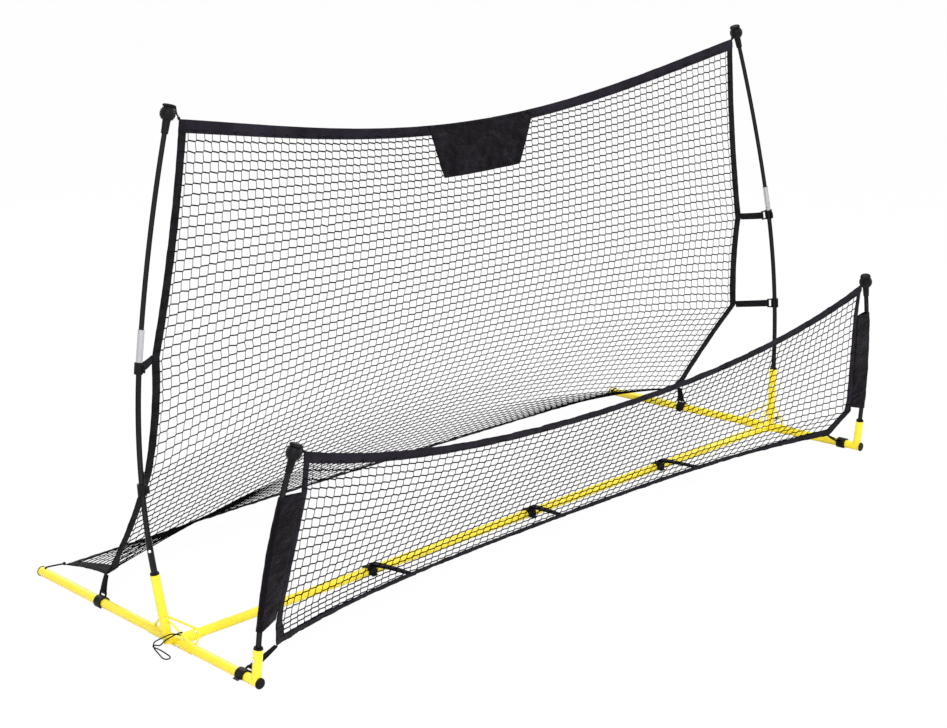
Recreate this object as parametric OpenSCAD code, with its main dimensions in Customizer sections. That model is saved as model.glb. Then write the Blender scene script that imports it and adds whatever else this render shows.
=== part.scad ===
// Two-net ball rebounder: a tall scooped rebound net behind a low catch net, on a
// knock-down base of powder-coated steel tube with bowed fibreglass poles.
// X runs across the nets, -Y is the side of the low net, +Z is up, millimetres.

/* [Base frame] */
// Width of the base over the end caps of the two front rails
base_w = 2230; // [1700:10:2600]
// Outer diameter of the rails and of the crossbar
rail_d = 22; // [20:0.5:26]
// Wall of the rails and of the crossbar
rail_wall = 1.2; // [1:0.1:1.6]
// Wall of the hub tube and of the sleeves that the tubes plug into
sleeve_wall = 1.4; // [1.2:0.1:2]
// Radial slip clearance between a plugged tube and its sleeve
tube_fit = 0.1; // [0.05:0.05:0.2]
// Length that the crossbar and the rear rails plug into their sleeves
plug_depth = 45; // [35:1:47]
// Length that a front rail plugs into the hub tube
front_plug_depth = 52; // [45:1:54]
// Inward turn of the rails towards the rear
toe_in = 3.56; // [0:0.1:6]
// Reach of the front rail from the hub's centre
front_reach = 312; // [260:5:380]
// Reach of the rear rail from the hub's centre
rear_reach = 578; // [450:5:700]
// Length of the hub tube in front of its centre
hub_front = 62; // [58:1:80]
// Length of the hub tube behind its centre
hub_rear = 98; // [90:1:120]
// Length of the crossbar sleeve from the hub's centre
sleeve_len = 62; // [60:1:80]
// Visible length of the crossbar's middle tube
centre_bar_len = 800; // [600:10:1000]
// Diameter of the welded brace rods
brace_d = 5; // [4:0.5:7]
// Height on the main socket at which the braces are welded
brace_h = 68; // [50:1:90]

/* [Sockets] */
// Outer diameter of the four pole sockets
socket_d = 21.5; // [20:0.5:25]
// Wall of the pole sockets
socket_wall = 1.5; // [1.2:0.1:1.6]
// Length of the main socket from the rail's axis to its mouth
main_socket_len = 165; // [140:1:200]
// Outward lean of the main socket
main_lean = 7; // [4:0.5:10]
// Rearward rake of the main socket and its pole
main_rake = 3.5; // [0:0.5:6]
// Distance that the main socket's foot stands outboard of the hub's centre
main_socket_out = 18; // [10:1:20]
// Distance that the main socket's foot stands behind the hub's centre
main_socket_back = 6; // [0:1:15]
// Length of the front socket from the rail's axis to its mouth
front_socket_len = 77; // [65:1:110]
// Distance of the front socket from the front end of its rail
front_socket_inset = 16; // [14:1:40]
// Inward lean of the front socket
front_lean = 1.5; // [0:0.1:5]
// Forward rake of the front socket
front_rake = 6.5; // [0:0.1:10]
// Thickness of a socket bush's flange
bush_flange = 4; // [3:0.5:6]
// Length of a socket bush inside the socket
bush_neck = 12; // [8:1:20]

/* [Main poles] */
// Outer diameter of the steel tube at the foot of a main pole
base_tube_d = 14.5; // [14:0.1:15]
// Wall of that steel tube
base_tube_wall = 1.2; // [1:0.1:1.2]
// Length of that steel tube inside the socket, where it stands on a step
base_tube_in = 80; // [70:1:85]
// Length of the steel tube that shows above the left socket
left_tube_show = 85; // [70:1:100]
// Length of the steel tube that shows above the right socket
right_tube_show = 14; // [12:1:60]
// Diameter of the lower fibreglass rod
lower_pole_d = 12; // [11.5:0.1:12]
// Length of the lower rod from the socket's mouth to the ferrule's middle
lower_pole_len = 509; // [480:1:540]
// Bend radius of the lower rod under the net's pull
lower_bend_r = 1640; // [1500:10:2200]
// Diameter of the upper fibreglass rod
upper_pole_d = 11; // [10:0.1:11.5]
// Length of the upper rod from the ferrule's middle to the ball cap
upper_pole_len = 453.5; // [350:0.5:600]
// Bend radius of the upper rod
upper_bend_r = 3765; // [3000:5:5000]
// Length of the aluminium ferrule between the rods
ferrule_len = 70; // [50:1:80]
// Outer diameter of the ferrule
ferrule_d = 14.6; // [14.2:0.1:16]

/* [Front poles] */
// Outer diameter of a front pole
front_pole_d = 12; // [11.5:0.1:12.5]
// Bore of a front pole
front_pole_bore = 9; // [8.5:0.1:9.5]
// Length of a front pole above its socket, up to the ball cap
front_pole_len = 392; // [300:1:450]
// Length of a front pole inside its socket
front_pole_in = 60; // [50:1:62]
// Bend radius of a front pole
front_bend_r = 1474; // [900:2:3000]
// Direction of that bend, turned from straight inward towards the front
front_bend_turn = -0.1; // [-20:0.1:40]

/* [Ball caps] */
// Diameter of the ball on a pole's tip
ball_d = 34; // [28:0.5:40]
// Number of grip ribs round a ball
ball_ribs = 6; // [3:1:7]
// Diameter of a grip rib's section
rib_d = 3; // [1.5:0.1:3.5]
// Diameter of the cap's stem
stem_d = 16; // [15:0.5:20]
// Length of the cap's stem up to the ball's centre
stem_len = 43; // [36:1:50]
// Diameter of the flat button on top of the ball
crown_d = 20; // [14:0.5:24]
// Height of the crown above the ball's centre
crown_h = 20; // [18:0.5:24]

/* [Snap buttons] */
// Diameter of a snap button
button_d = 7; // [5:0.1:8]
// Height of a button above the wall that it locks
button_stand = 3; // [2:0.1:3.5]
// Travel of a button when it is pressed
button_travel = 4; // [2:0.1:4.2]
// Thickness of the leaf spring behind a button
leaf_t = 0.7; // [0.5:0.1:0.9]
// Width of the leaf spring behind a button
leaf_w = 5; // [4:0.5:6]
// Length of the leaf spring behind a button
leaf_len = 26; // [20:1:30]
// Distance of the left pole's button above its socket
left_button_up = 57; // [40:1:60]
// Distance of the right pole's button below its socket's mouth
right_button_down = 50; // [40:1:55]
// Distance of a front pole's button below its socket's mouth
front_button_down = 26; // [20:1:32]
// Distance of the rail's button in front of the hub's centre
rail_button_at = 22; // [18:1:24]
// Distance of the crossbar's button from the hub's centre
bar_button_at = 46; // [40:1:48]

/* [Clips and straps] */
// Wall of a pole clip
clip_wall = 4.2; // [3:0.1:5]
// Height of a clip along the tube that it grips
clip_h = 25; // [22:0.5:30]
// Wall of a clip on a rail or on the crossbar
rail_clip_wall = 3.8; // [2.5:0.1:4.5]
// Radial gap between a clip and its tube
clip_fit = 0.3; // [0.2:0.05:0.4]
// Thickness of a clip's bail arms
bail_t = 3; // [2:0.5:4]
// Diameter of a clip's bail bar
bail_bar_d = 4; // [3:0.5:5]
// Open depth of a clip's strap window
bail_window = 7; // [6:0.5:10]
// Thickness of one layer of strap webbing
strap_t = 1.4; // [1:0.1:1.8]
// Distance from a socket's mouth to the lower pole clip, along the pole
low_clip_at = 196; // [150:1:300]
// Distance from a socket's mouth to the upper pole clip, along the pole
high_clip_at = 461; // [400:1:461]
// Distance from the pole's axis to the net's edge at the lower clip
low_strap_reach = 112; // [80:1:140]
// Distance from the pole's axis to the net's edge at the upper clip
high_strap_reach = 84; // [70:1:120]
// Distance of the rear rail clip behind the hub's centre
rear_clip_at = 308; // [250:1:380]
// Distance of the front rail clip from the front end of its rail
front_clip_inset = 62; // [48:1:80]
// Places of the crossbar clips across the base
bar_clip_x = [-505, 55, 575];
// Places across the front net's hem where those clips' straps are sewn
bar_strap_x = [-533, 0, 533];

/* [Nets] */
// Distance from a main ball cap's middle in to the main net's corner
main_corner_in = 25; // [22:1:40]
// Distance from a main ball cap's middle down to the main net's corner
main_corner_drop = 14; // [0:1:40]
// Height of the main net's top edge at mid width
main_mid_z = 1032; // [900:1:1080]
// Width of the main net's top hem
top_hem_w = 25; // [20:1:45]
// Width of the webbing along the main net's sides
side_hem_w = 22; // [18:1:30]
// Width of the cord hem along the main net's rear edge
rear_hem_w = 18; // [12:1:25]
// Height of the front net's top edge at mid width
front_mid_z = 389; // [320:1:430]
// Height of the front net's bottom edge at mid width
front_low_z = 61; // [50:1:100]
// Width of the front net's top hem
front_hem_w = 19; // [15:1:35]
// Width of the front net's bottom hem
front_low_hem_w = 13; // [10:1:30]
// Thickness of the hems
hem_t = 3; // [2:0.5:4]
// Thickness of the netting
net_t = 2; // [1.5:0.5:3]
// Width of a strand of netting
strand_w = 6; // [4:0.5:10]
// Half width of the banner at its top edge
banner_top_half = 186; // [120:1:220]
// Half width of the banner at its bottom edge
banner_low_half = 132; // [90:1:200]
// Height of the banner
banner_h = 123; // [70:1:140]

/* [Ties] */
// Diameter of the cords that tie the net's corners
tie_d = 4; // [3:0.5:5]
// Diameter of the loose storage cords
cord_d = 3; // [2.5:0.1:3.5]

/* [Hidden] */

FRAME_COLOR = "#ffe41c";
BLACK = "#17171b";
PLASTIC = "#26262b";
FABRIC = "#201f26";
STEEL = "#d9dce0";

$fn = 48;
arc_fn = 480;            // fragments of a full circle for the bowed poles

// --- sizes that follow from the driving ones ---
hub_d = rail_d + 2 * tube_fit + 2 * sleeve_wall;
rail_z = hub_d / 2;
hub_x = base_w / 2 - hub_d / 2 - front_reach * sin(toe_in);
socket_bore = socket_d - 2 * socket_wall;
lower_foot_bore = base_tube_d - 2 * base_tube_wall;
pole_play = 0.4;         // clearance of the curved rods in their straight parts
foot_play = 0.3;         // clearance of a pole in its bush
button_play = 0.08;      // clearance of a button in its hole
rod_in = 22;             // length of a fibreglass rod inside its steel foot tube
stop_bore = 12;          // bore of the main socket below the step
seat_gap = 0.3;          // gap between soft faces and what carries them

main_dir = [sin(main_lean), cos(main_lean) * sin(main_rake), cos(main_lean) * cos(main_rake)];
main_foot = [hub_x + main_socket_out, main_socket_back, rail_z];
main_mouth = main_foot + main_socket_len * main_dir;
front_socket_y = -(front_reach - front_socket_inset);
front_foot = [hub_x - front_socket_y * sin(toe_in), front_socket_y * cos(toe_in), rail_z];
front_dir = rot_x(front_rake, rot_y(-front_lean, [0, 0, 1]));
front_mouth = front_foot + front_socket_len * front_dir;

module placed() translate([0, -mid_y, 0]) children();
module side(s) placed() mirror([s < 0 ? 1 : 0, 0, 0]) children();
module both() { side(-1) children(); side(1) children(); }

// --- curves of the poles ---
function rot_x(a, p) = [p.x, p.y * cos(a) - p.z * sin(a), p.y * sin(a) + p.z * cos(a)];
function rot_y(a, p) = [p.x * cos(a) + p.z * sin(a), p.y, p.z * cos(a) - p.x * sin(a)];
function rot_z(a, p) = [p.x * cos(a) - p.y * sin(a), p.x * sin(a) + p.y * cos(a), p.z];

// Outward lean of the main pole's axis at length s from the socket's mouth
junction_lean = main_lean - lower_pole_len / lower_bend_r * 180 / PI;
function main_tilt(s) = s <= lower_pole_len
  ? main_lean - s / lower_bend_r * 180 / PI
  : junction_lean - (s - lower_pole_len) / upper_bend_r * 180 / PI;
function arc_pt(r, a0, a) = [r * (cos(a) - cos(a0)), 0, r * (sin(a0) - sin(a))];
junction_pt = arc_pt(lower_bend_r, main_lean, junction_lean);
function main_local(s) = s <= lower_pole_len
  ? arc_pt(lower_bend_r, main_lean, main_tilt(s))
  : s <= lower_pole_len + upper_pole_len
    ? junction_pt + arc_pt(upper_bend_r, junction_lean, main_tilt(s))
    : main_local(lower_pole_len + upper_pole_len)
      + (s - lower_pole_len - upper_pole_len) * [sin(tip_lean), 0, cos(tip_lean)];
tip_lean = junction_lean - upper_pole_len / upper_bend_r * 180 / PI;
function main_world(p) = main_mouth + rot_x(-main_rake, p);

front_tip_lean = -front_pole_len / front_bend_r * 180 / PI;
function front_tilt(s) = -s / front_bend_r * 180 / PI;
function front_local(s) = s <= front_pole_len
  ? arc_pt(front_bend_r, 0, front_tilt(s))
  : arc_pt(front_bend_r, 0, front_tip_lean)
    + (s - front_pole_len) * [sin(front_tip_lean), 0, cos(front_tip_lean)];
function front_world(s) = front_mouth
  + rot_x(front_rake, rot_y(-front_lean, rot_z(front_bend_turn, front_local(s))));

// Half the depth between the front ball caps and the rear rail ends puts the origin
// at the middle of the part.
front_tip = front_world(front_pole_len + stem_len);
y_front = front_tip.y - ball_d / 2 - rib_d / 4;
y_rear = rear_reach * cos(toe_in) + (hub_d / 2 - 1) * sin(toe_in);
mid_y = (y_front + y_rear) / 2;

// --- frames that parts are placed in, all for the right side ---
module base_side() translate([hub_x, 0, rail_z]) rotate([0, 0, toe_in]) children();
module main_frame() translate(main_mouth) rotate([-main_rake, 0, 0]) children();
module front_socket() translate(front_mouth) rotate([front_rake, 0, 0]) rotate([0, -front_lean, 0]) children();
module front_frame() front_socket() rotate([0, 0, front_bend_turn]) children();
module at_main(s) main_frame() translate(main_local(s)) rotate([0, main_tilt(s), 0]) children();
module at_front(s) front_frame() translate(front_local(s))
  rotate([0, front_tilt(min(s, front_pole_len)), 0]) children();

// --- simple shapes ---
module rod(a, b, d) {
  v = b - a;
  translate(a) rotate([0, acos(v.z / norm(v)), atan2(v.y, v.x)]) cylinder(d = d, h = norm(v));
}
module tube(d, bore, h) {
  difference() {
    cylinder(d = d, h = h);
    translate([0, 0, -1]) cylinder(d = bore, h = h + 2);
  }
}
// Length of bowed rod in the XZ plane, from tilt a0 to tilt a1, starting at the origin
module bowed(r, a0, a1, d, bore = 0) {
  translate([-r * cos(a0), 0, r * sin(a0)]) rotate([90, 0, 0]) rotate([0, 0, -a0])
    rotate_extrude(angle = a0 - a1, $fn = arc_fn) translate([r, 0]) difference() {
      circle(d = d, $fn = 32);
      if (bore > 0) circle(d = bore, $fn = 32);
    }
}
// Length of the main pole's curve from s0 to s1, both on one of its two arcs
module main_bow(s0, s1, d, bore = 0) {
  main_frame() translate(main_local(s0))
    bowed(s1 <= lower_pole_len ? lower_bend_r : upper_bend_r, main_tilt(s0), main_tilt(s1), d, bore);
}
// A flat band between two points, w wide along the side that points nearest to `across`
module band(a, b, across, w, t) {
  x = (b - a) / norm(b - a);
  n = cross(x, across) / norm(cross(x, across));
  y = cross(n, x);
  multmatrix([[x.x, y.x, n.x, a.x], [x.y, y.y, n.y, a.y], [x.z, y.z, n.z, a.z], [0, 0, 0, 1]])
    translate([0, -w / 2, -t / 2]) cube([norm(b - a), w, t]);
}

// --- sheets: closed solids made from a grid of points ---
function sub(p, q) = p - q;
function unit(v) = v / norm(v);
function grid_normals(g) = [for (i = [0:len(g) - 1]) [for (j = [0:len(g[0]) - 1])
  unit(cross(g[min(i + 1, len(g) - 1)][j] - g[max(i - 1, 0)][j],
             g[i][min(j + 1, len(g[0]) - 1)] - g[i][max(j - 1, 0)]))]];
function shifted(g, n, d) = [for (i = [0:len(g) - 1]) [for (j = [0:len(g[0]) - 1]) g[i][j] + d * n[i][j]]];
function flat(l) = [for (a = l) for (b = a) b];

// Solid between two grids of points
module skin(front, back) {
  m = len(front);
  n = len(front[0]);
  off = m * n;
  function id(i, j) = i * n + j;
  polyhedron(concat(flat(front), flat(back)), concat(
    [for (i = [0:m - 2]) for (j = [0:n - 2]) each
      [[id(i, j), id(i + 1, j), id(i + 1, j + 1)], [id(i, j), id(i + 1, j + 1), id(i, j + 1)]]],
    [for (i = [0:m - 2]) for (j = [0:n - 2]) each
      [[off + id(i, j), off + id(i + 1, j + 1), off + id(i + 1, j)],
       [off + id(i, j), off + id(i, j + 1), off + id(i + 1, j + 1)]]],
    [for (i = [0:m - 2]) each
      [[id(i, 0), off + id(i, 0), off + id(i + 1, 0)], [id(i, 0), off + id(i + 1, 0), id(i + 1, 0)],
       [id(i, n - 1), id(i + 1, n - 1), off + id(i + 1, n - 1)],
       [id(i, n - 1), off + id(i + 1, n - 1), off + id(i, n - 1)]]],
    [for (j = [0:n - 2]) each
      [[id(0, j), id(0, j + 1), off + id(0, j + 1)], [id(0, j), off + id(0, j + 1), off + id(0, j)],
       [id(m - 1, j), off + id(m - 1, j), off + id(m - 1, j + 1)],
       [id(m - 1, j), off + id(m - 1, j + 1), id(m - 1, j + 1)]]]));
}
module sheet(g, t) {
  n = grid_normals(g);
  skin(shifted(g, n, t / 2), shifted(g, n, -t / 2));
}

// Netting: a sheet with one four-sided gap in each cell of its grid
function cell_corner(g, i, j, a, b) =
  let (p = g[i][j], q = g[i + 1][j], r = g[i + 1][j + 1], s = g[i][j + 1])
  (1 - a) * (1 - b) * p + a * (1 - b) * q + a * b * r + (1 - a) * b * s;
function gap_corners(g, i, j) =
  let (a = strand_w / 2 / norm(g[i + 1][j] - g[i][j]), b = strand_w / 2 / norm(g[i][j + 1] - g[i][j]))
  [cell_corner(g, i, j, a, b), cell_corner(g, i, j, 1 - a, b),
   cell_corner(g, i, j, 1 - a, 1 - b), cell_corner(g, i, j, a, 1 - b)];
module netting(g, t) {
  m = len(g);
  n = len(g[0]);
  nn = grid_normals(g);
  f = shifted(g, nn, t / 2);
  k = shifted(g, nn, -t / 2);
  cells = [for (i = [0:m - 2]) for (j = [0:n - 2]) [i, j]];
  nodes = m * n;
  gaps = 4 * len(cells);
  function id(i, j) = i * n + j;
  function ring(i, j) = [id(i, j), id(i + 1, j), id(i + 1, j + 1), id(i, j + 1)];
  polyhedron(
    concat(flat(f), flat([for (c = cells) gap_corners(f, c[0], c[1])]),
           flat(k), flat([for (c = cells) gap_corners(k, c[0], c[1])])),
    concat(
      [for (c = [0:len(cells) - 1]) for (e = [0:3]) each
        let (r = ring(cells[c][0], cells[c][1]), e2 = (e + 1) % 4, h = nodes + 4 * c, o = nodes + gaps)
        [[r[e], r[e2], h + e2], [r[e], h + e2, h + e],
         [o + r[e], o + h + e2, o + r[e2]], [o + r[e], o + h + e, o + h + e2],
         [h + e, h + e2, o + h + e2], [h + e, o + h + e2, o + h + e]]],
      let (o = nodes + gaps) concat(
        [for (i = [0:m - 2]) each
          [[id(i, 0), o + id(i, 0), o + id(i + 1, 0)], [id(i, 0), o + id(i + 1, 0), id(i + 1, 0)],
           [id(i, n - 1), id(i + 1, n - 1), o + id(i + 1, n - 1)],
           [id(i, n - 1), o + id(i + 1, n - 1), o + id(i, n - 1)]]],
        [for (j = [0:n - 2]) each
          [[id(0, j), id(0, j + 1), o + id(0, j + 1)], [id(0, j), o + id(0, j + 1), o + id(0, j)],
           [id(m - 1, j), o + id(m - 1, j), o + id(m - 1, j + 1)],
           [id(m - 1, j), o + id(m - 1, j + 1), id(m - 1, j + 1)]]])));
}

// --- shape of the main net ---
// Its side edge runs through the top corner, the two strap ends, the low corner and the
// rear corner. Rows of netting are counted from the top, and side_rows says at which row
// each of these lies.
high_az = 145.3;         // direction of the upper strap seen from above
low_az = 128.8;          // direction of the lower strap seen from above
high_sewn = main_world(main_local(high_clip_at) + high_strap_reach * [cos(high_az), sin(high_az), 0]);
low_sewn = main_world(main_local(low_clip_at) + low_strap_reach * [cos(low_az), sin(low_az), 0]);
low_corner = [hub_x - 36, rear_clip_at - 2, 76];
rear_corner = [hub_x - 78, rear_reach - 42, 27];
main_ball = main_world(main_local(lower_pole_len + upper_pole_len + stem_len));
top_corner = main_ball + [-main_corner_in, -6, -main_corner_drop];
side_pts = [top_corner, high_sewn, low_sewn, low_corner, rear_corner];
side_rows = [0, 4, 6, 9, 11];
main_rows = 11;
main_cols = 20;
scallop = 9;             // inward sag of the side edge between two straps
function side_at(row, k = 0) = row > side_rows[k + 1] && k < 3 ? side_at(row, k + 1)
  : let (f = (row - side_rows[k]) / (side_rows[k + 1] - side_rows[k]))
    (1 - f) * side_pts[k] + f * side_pts[k + 1] - [4 * scallop * f * (1 - f), 0, 0];
// The middle of the net hangs in one smooth scoop
mid_top = [0, 108, main_mid_z];
mid_pull_top = [0, 100, 400];
mid_pull_low = [0, 280, 235];
mid_low = [0, rear_reach - 43, 34];
function bezier(p, q, r, s, t) = pow(1 - t, 3) * p + 3 * t * pow(1 - t, 2) * q
  + 3 * t * t * (1 - t) * r + pow(t, 3) * s;
function mid_at(v) = bezier(mid_top, mid_pull_top, mid_pull_low, mid_low, v * (0.62 + 0.38 * v));
function main_pt(u, v) = let (s = side_at(v * main_rows), c = mid_at(v), w = u * u * (1 + 0.3 * (1 - u * u) * (1 - v)))
  [u * s.x, (1 - w) * c.y + w * s.y, (1 - w) * c.z + w * s.z];

function clamp(x, lo, hi) = min(max(x, lo), hi);
top_hem_v = top_hem_w / 1220;
rear_hem_v = rear_hem_w / 1220;
side_hem_u = side_hem_w / 1030;
main_us = [for (i = [0:main_cols]) clamp(2 * i / main_cols - 1, -1 + side_hem_u, 1 - side_hem_u)];
main_vs = [for (i = [0:main_rows]) clamp(i / main_rows, top_hem_v, 1 - rear_hem_v)];
function main_grid(us, vs) = [for (v = vs) [for (u = us) main_pt(u, v)]];

// --- shape of the front net ---
front_ball = front_world(front_pole_len + stem_len);
pocket_low = 41;         // place of the pocket's bottom edge on the pole
pocket_high = 338;       // place of the pocket's top edge on the pole
front_pts = [front_ball + [-25, -4, -2], front_world(pocket_high) + [-50, -4, 0],
             front_world(pocket_low) + [-47, 4, 0], [hub_x - 69, -front_reach + 53, 56]];
front_rows = 5;
front_cols = 16;
front_breaks = [0, 1, 4, 5];
function front_side(row, k = 0) = row > front_breaks[k + 1] && k < 2 ? front_side(row, k + 1)
  : let (f = (row - front_breaks[k]) / (front_breaks[k + 1] - front_breaks[k]))
    (1 - f) * front_pts[k] + f * front_pts[k + 1];
front_top_mid = [0, front_pts[0].y + 13, front_mid_z];
front_low_mid = [0, -172, front_low_z];
function front_pt(u, v) = let (s = front_side(v * front_rows), c = (1 - v) * front_top_mid + v * front_low_mid,
  a = 0.73 - 0.35 * v, w = u * u * (a + (1 - a) * u * u)) [u * s.x, (1 - w) * c.y + w * s.y, (1 - w) * c.z + w * s.z];
front_hem_v = front_hem_w / 340;
front_low_v = front_low_hem_w / 340;
front_side_u = 16 / 1030;
front_us = [for (i = [0:front_cols]) clamp(2 * i / front_cols - 1, -1 + front_side_u, 1 - front_side_u)];
front_vs = [for (i = [0:front_rows]) clamp(i / front_rows, front_hem_v, 1 - front_low_v)];
function front_grid(us, vs) = [for (v = vs) [for (u = us) front_pt(u, v)]];

// --- base frame ---
module hub() {
  sleeve_end = [hub_x - sleeve_len + 6, 0, rail_z];
  ring_pt = main_foot + brace_h * main_dir;
  front_end = [hub_x + (hub_front - 8) * sin(toe_in), -(hub_front - 8), rail_z];
  rear_end = [hub_x - (hub_rear - 12) * sin(toe_in), hub_rear - 12, rail_z];
  lift = [0, 0, hub_d / 2 - 1];
  reach_in = [-hub_d / 2 + 1, 0, 0];
  sleeve_front = [0, -hub_d / 2 + 1, 0];
  difference() {
    union() {
      base_side() rotate([-90, 0, 0]) translate([0, 0, -hub_front]) cylinder(d = hub_d, h = hub_front + hub_rear);
      translate([hub_x - sleeve_len, 0, rail_z]) rotate([0, 90, 0]) cylinder(d = hub_d, h = sleeve_len);
      main_frame() rotate([0, main_lean, 0]) translate([0, 0, -main_socket_len])
        cylinder(d = socket_d, h = main_socket_len);
      main_frame() rotate([0, main_lean, 0]) translate([0, 0, brace_h - main_socket_len])
        rotate_extrude() translate([socket_d / 2, 0]) circle(d = 2.4, $fn = 16);
      rod(ring_pt, sleeve_end + lift, brace_d);
      rod(ring_pt, front_end + lift, brace_d);
      rod(ring_pt, rear_end + lift, brace_d);
      rod(sleeve_end + sleeve_front, front_end + reach_in, brace_d);
    }
    base_side() rotate([-90, 0, 0]) translate([0, 0, -hub_front - 1])
      cylinder(d = rail_d + 2 * tube_fit, h = hub_front + hub_rear + 2);
    translate([hub_x - sleeve_len - 1, 0, rail_z]) rotate([0, 90, 0])
      cylinder(d = rail_d + 2 * tube_fit, h = sleeve_len - hub_d / 2 + 1);
    main_frame() rotate([0, main_lean, 0]) translate([0, 0, -base_tube_in - 0.5])
      cylinder(d = socket_bore, h = base_tube_in + 2);
    main_frame() rotate([0, main_lean, 0]) translate([0, 0, 14 - main_socket_len])
      cylinder(d = stop_bore, h = main_socket_len - 14);
    bar_button_frame() button_hole();
    rail_button_frame() button_hole();
    right_pole_button_frame() button_hole();
  }
}

module front_rail() {
  difference() {
    union() {
      base_side() rotate([90, 0, 0]) translate([0, 0, hub_front - front_plug_depth])
        cylinder(d = rail_d, h = front_reach - hub_front + front_plug_depth - cap_lip);
      front_socket() translate([0, 0, 2 - front_socket_len]) cylinder(d = socket_d, h = front_socket_len - 2);
    }
    base_side() rotate([90, 0, 0]) translate([0, 0, hub_front - front_plug_depth - 1])
      cylinder(d = rail_d - 2 * rail_wall, h = front_reach - hub_front + front_plug_depth + 2);
    front_socket() translate([0, 0, -front_pole_in - 0.3]) cylinder(d = socket_bore, h = front_pole_in + 1.3);
    rail_button_frame() button_hole();
    front_button_frame() button_hole();
  }
}
module rear_rail() {
  difference() {
    base_side() rotate([-90, 0, 0]) translate([0, 0, hub_rear - plug_depth])
      cylinder(d = rail_d, h = rear_reach - hub_rear + plug_depth - cap_lip);
    base_side() rotate([-90, 0, 0]) translate([0, 0, hub_rear - plug_depth - 1])
      cylinder(d = rail_d - 2 * rail_wall, h = rear_reach - hub_rear + plug_depth + 2);
    base_side() translate([0, rear_reach - tie_hole_inset, 0]) cylinder(d = tie_d + 1, h = rail_d);
  }
}
module side_bar() {
  bar_out = hub_x - sleeve_len + plug_depth;
  difference() {
    translate([centre_bar_len / 2, 0, rail_z]) rotate([0, 90, 0]) cylinder(d = rail_d, h = bar_out - centre_bar_len / 2);
    translate([centre_bar_len / 2 - 1, 0, rail_z]) rotate([0, 90, 0])
      cylinder(d = rail_d - 2 * rail_wall, h = bar_out - centre_bar_len / 2 + 2);
    bar_button_frame() button_hole();
  }
}
module centre_bar() {
  spigot_d = rail_d - 2 * rail_wall - 2 * tube_fit;
  difference() {
    union() {
      translate([-centre_bar_len / 2, 0, rail_z]) rotate([0, 90, 0]) cylinder(d = rail_d, h = centre_bar_len);
      translate([-centre_bar_len / 2 - plug_depth, 0, rail_z]) rotate([0, 90, 0])
        cylinder(d = spigot_d, h = centre_bar_len + 2 * plug_depth);
    }
    translate([-centre_bar_len / 2 - plug_depth - 1, 0, rail_z]) rotate([0, 90, 0])
      cylinder(d = spigot_d - 2 * rail_wall, h = centre_bar_len + 2 * plug_depth + 2);
  }
}

cap_lip = 3;             // thickness of a rail end cap's rim, which is also its foot
tie_hole_inset = 20;     // distance of the cord hole from the rear rail's end
module end_cap(reach) {
  // The rim stands on the ground beside the hub tube, so it has the hub tube's diameter
  translate([0, 0, reach - cap_lip]) rotate_extrude()
    polygon([[0, 0], [hub_d / 2, 0], [hub_d / 2, 1], [rail_d / 2, cap_lip], [0, cap_lip]]);
  translate([0, 0, reach - cap_lip - 12]) tube(rail_d - 2 * rail_wall - 2 * tube_fit, rail_d - 2 * rail_wall - 4, 12);
}
module rail_caps() {
  base_side() rotate([90, 0, 0]) end_cap(front_reach);
  base_side() rotate([-90, 0, 0]) end_cap(rear_reach);
}

// Flanged plastic bush in a socket's mouth
module bush(pole) {
  difference() {
    union() {
      cylinder(d1 = socket_d, d2 = socket_d - 2, h = bush_flange);
      translate([0, 0, -bush_neck]) cylinder(d = socket_bore - 2 * tube_fit, h = bush_neck + 1);
    }
    translate([0, 0, -bush_neck - 1]) cylinder(d = pole + 2 * foot_play, h = bush_neck + bush_flange + 2);
  }
}

// --- poles ---
module pole_foot(show) main_bow(-base_tube_in, show, base_tube_d, lower_foot_bore);
module ferrule() {
  at_main(lower_pole_len) translate([0, 0, -ferrule_len / 2])
    tube(ferrule_d, lower_pole_d + 2 * pole_play, ferrule_len);
}
cap_plug = 18;           // length of a pole's tip inside its ball cap

// Ribbed ball on a stem, with a flat crown; the pole's tip stands in its bore
module ball_cap(pole) {
  difference() {
    union() {
      cylinder(d1 = stem_d - 0.5, d2 = stem_d + 3, h = stem_len);
      translate([0, 0, stem_len]) sphere(d = ball_d);
      for (i = [0:ball_ribs - 1])
        let (z = (i - (ball_ribs - 1) / 2) * ball_d / (ball_ribs + 1.6))
          translate([0, 0, stem_len + z]) rotate_extrude()
            translate([sqrt(ball_d * ball_d / 4 - z * z) - rib_d / 4, 0]) circle(d = rib_d, $fn = 16);
      translate([0, 0, stem_len]) cylinder(d = crown_d, h = crown_h);
    }
    translate([0, 0, -1]) cylinder(d = pole + 2 * pole_play, h = cap_plug + 1.5);
  }
}

module front_pole() difference() {
  front_frame() translate(front_local(-front_pole_in)) bowed(front_bend_r, front_tilt(-front_pole_in),
    front_tilt(front_pole_len + cap_plug - 1), front_pole_d, front_pole_bore);
  front_button_frame() button_hole();
}

// --- snap buttons: a dome on a leaf spring; local z points out through the wall ---
function leaf_top(bore) = sqrt(bore * bore / 4 - leaf_w * leaf_w / 4) - 0.35;
module snap_button(bore, wall_r) {
  top = wall_r + button_stand;
  base = leaf_top(bore) - leaf_t;
  dome_h = 1.6;
  dome_r = (button_d * button_d / 4 + dome_h * dome_h) / (2 * dome_h);
  intersection() {
    translate([0, 0, base]) cylinder(d = button_d, h = top - base);
    translate([0, 0, top - dome_r]) sphere(r = dome_r, $fn = 64);
    translate([0, 0, base]) cylinder(d = button_d + 2, h = top - base + 1);
  }
  translate([0, 0, base]) cylinder(d = button_d, h = top - dome_h - base);
  translate([-leaf_w, -leaf_w / 2, base]) cube([leaf_len, leaf_w, leaf_t]);
}
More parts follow.
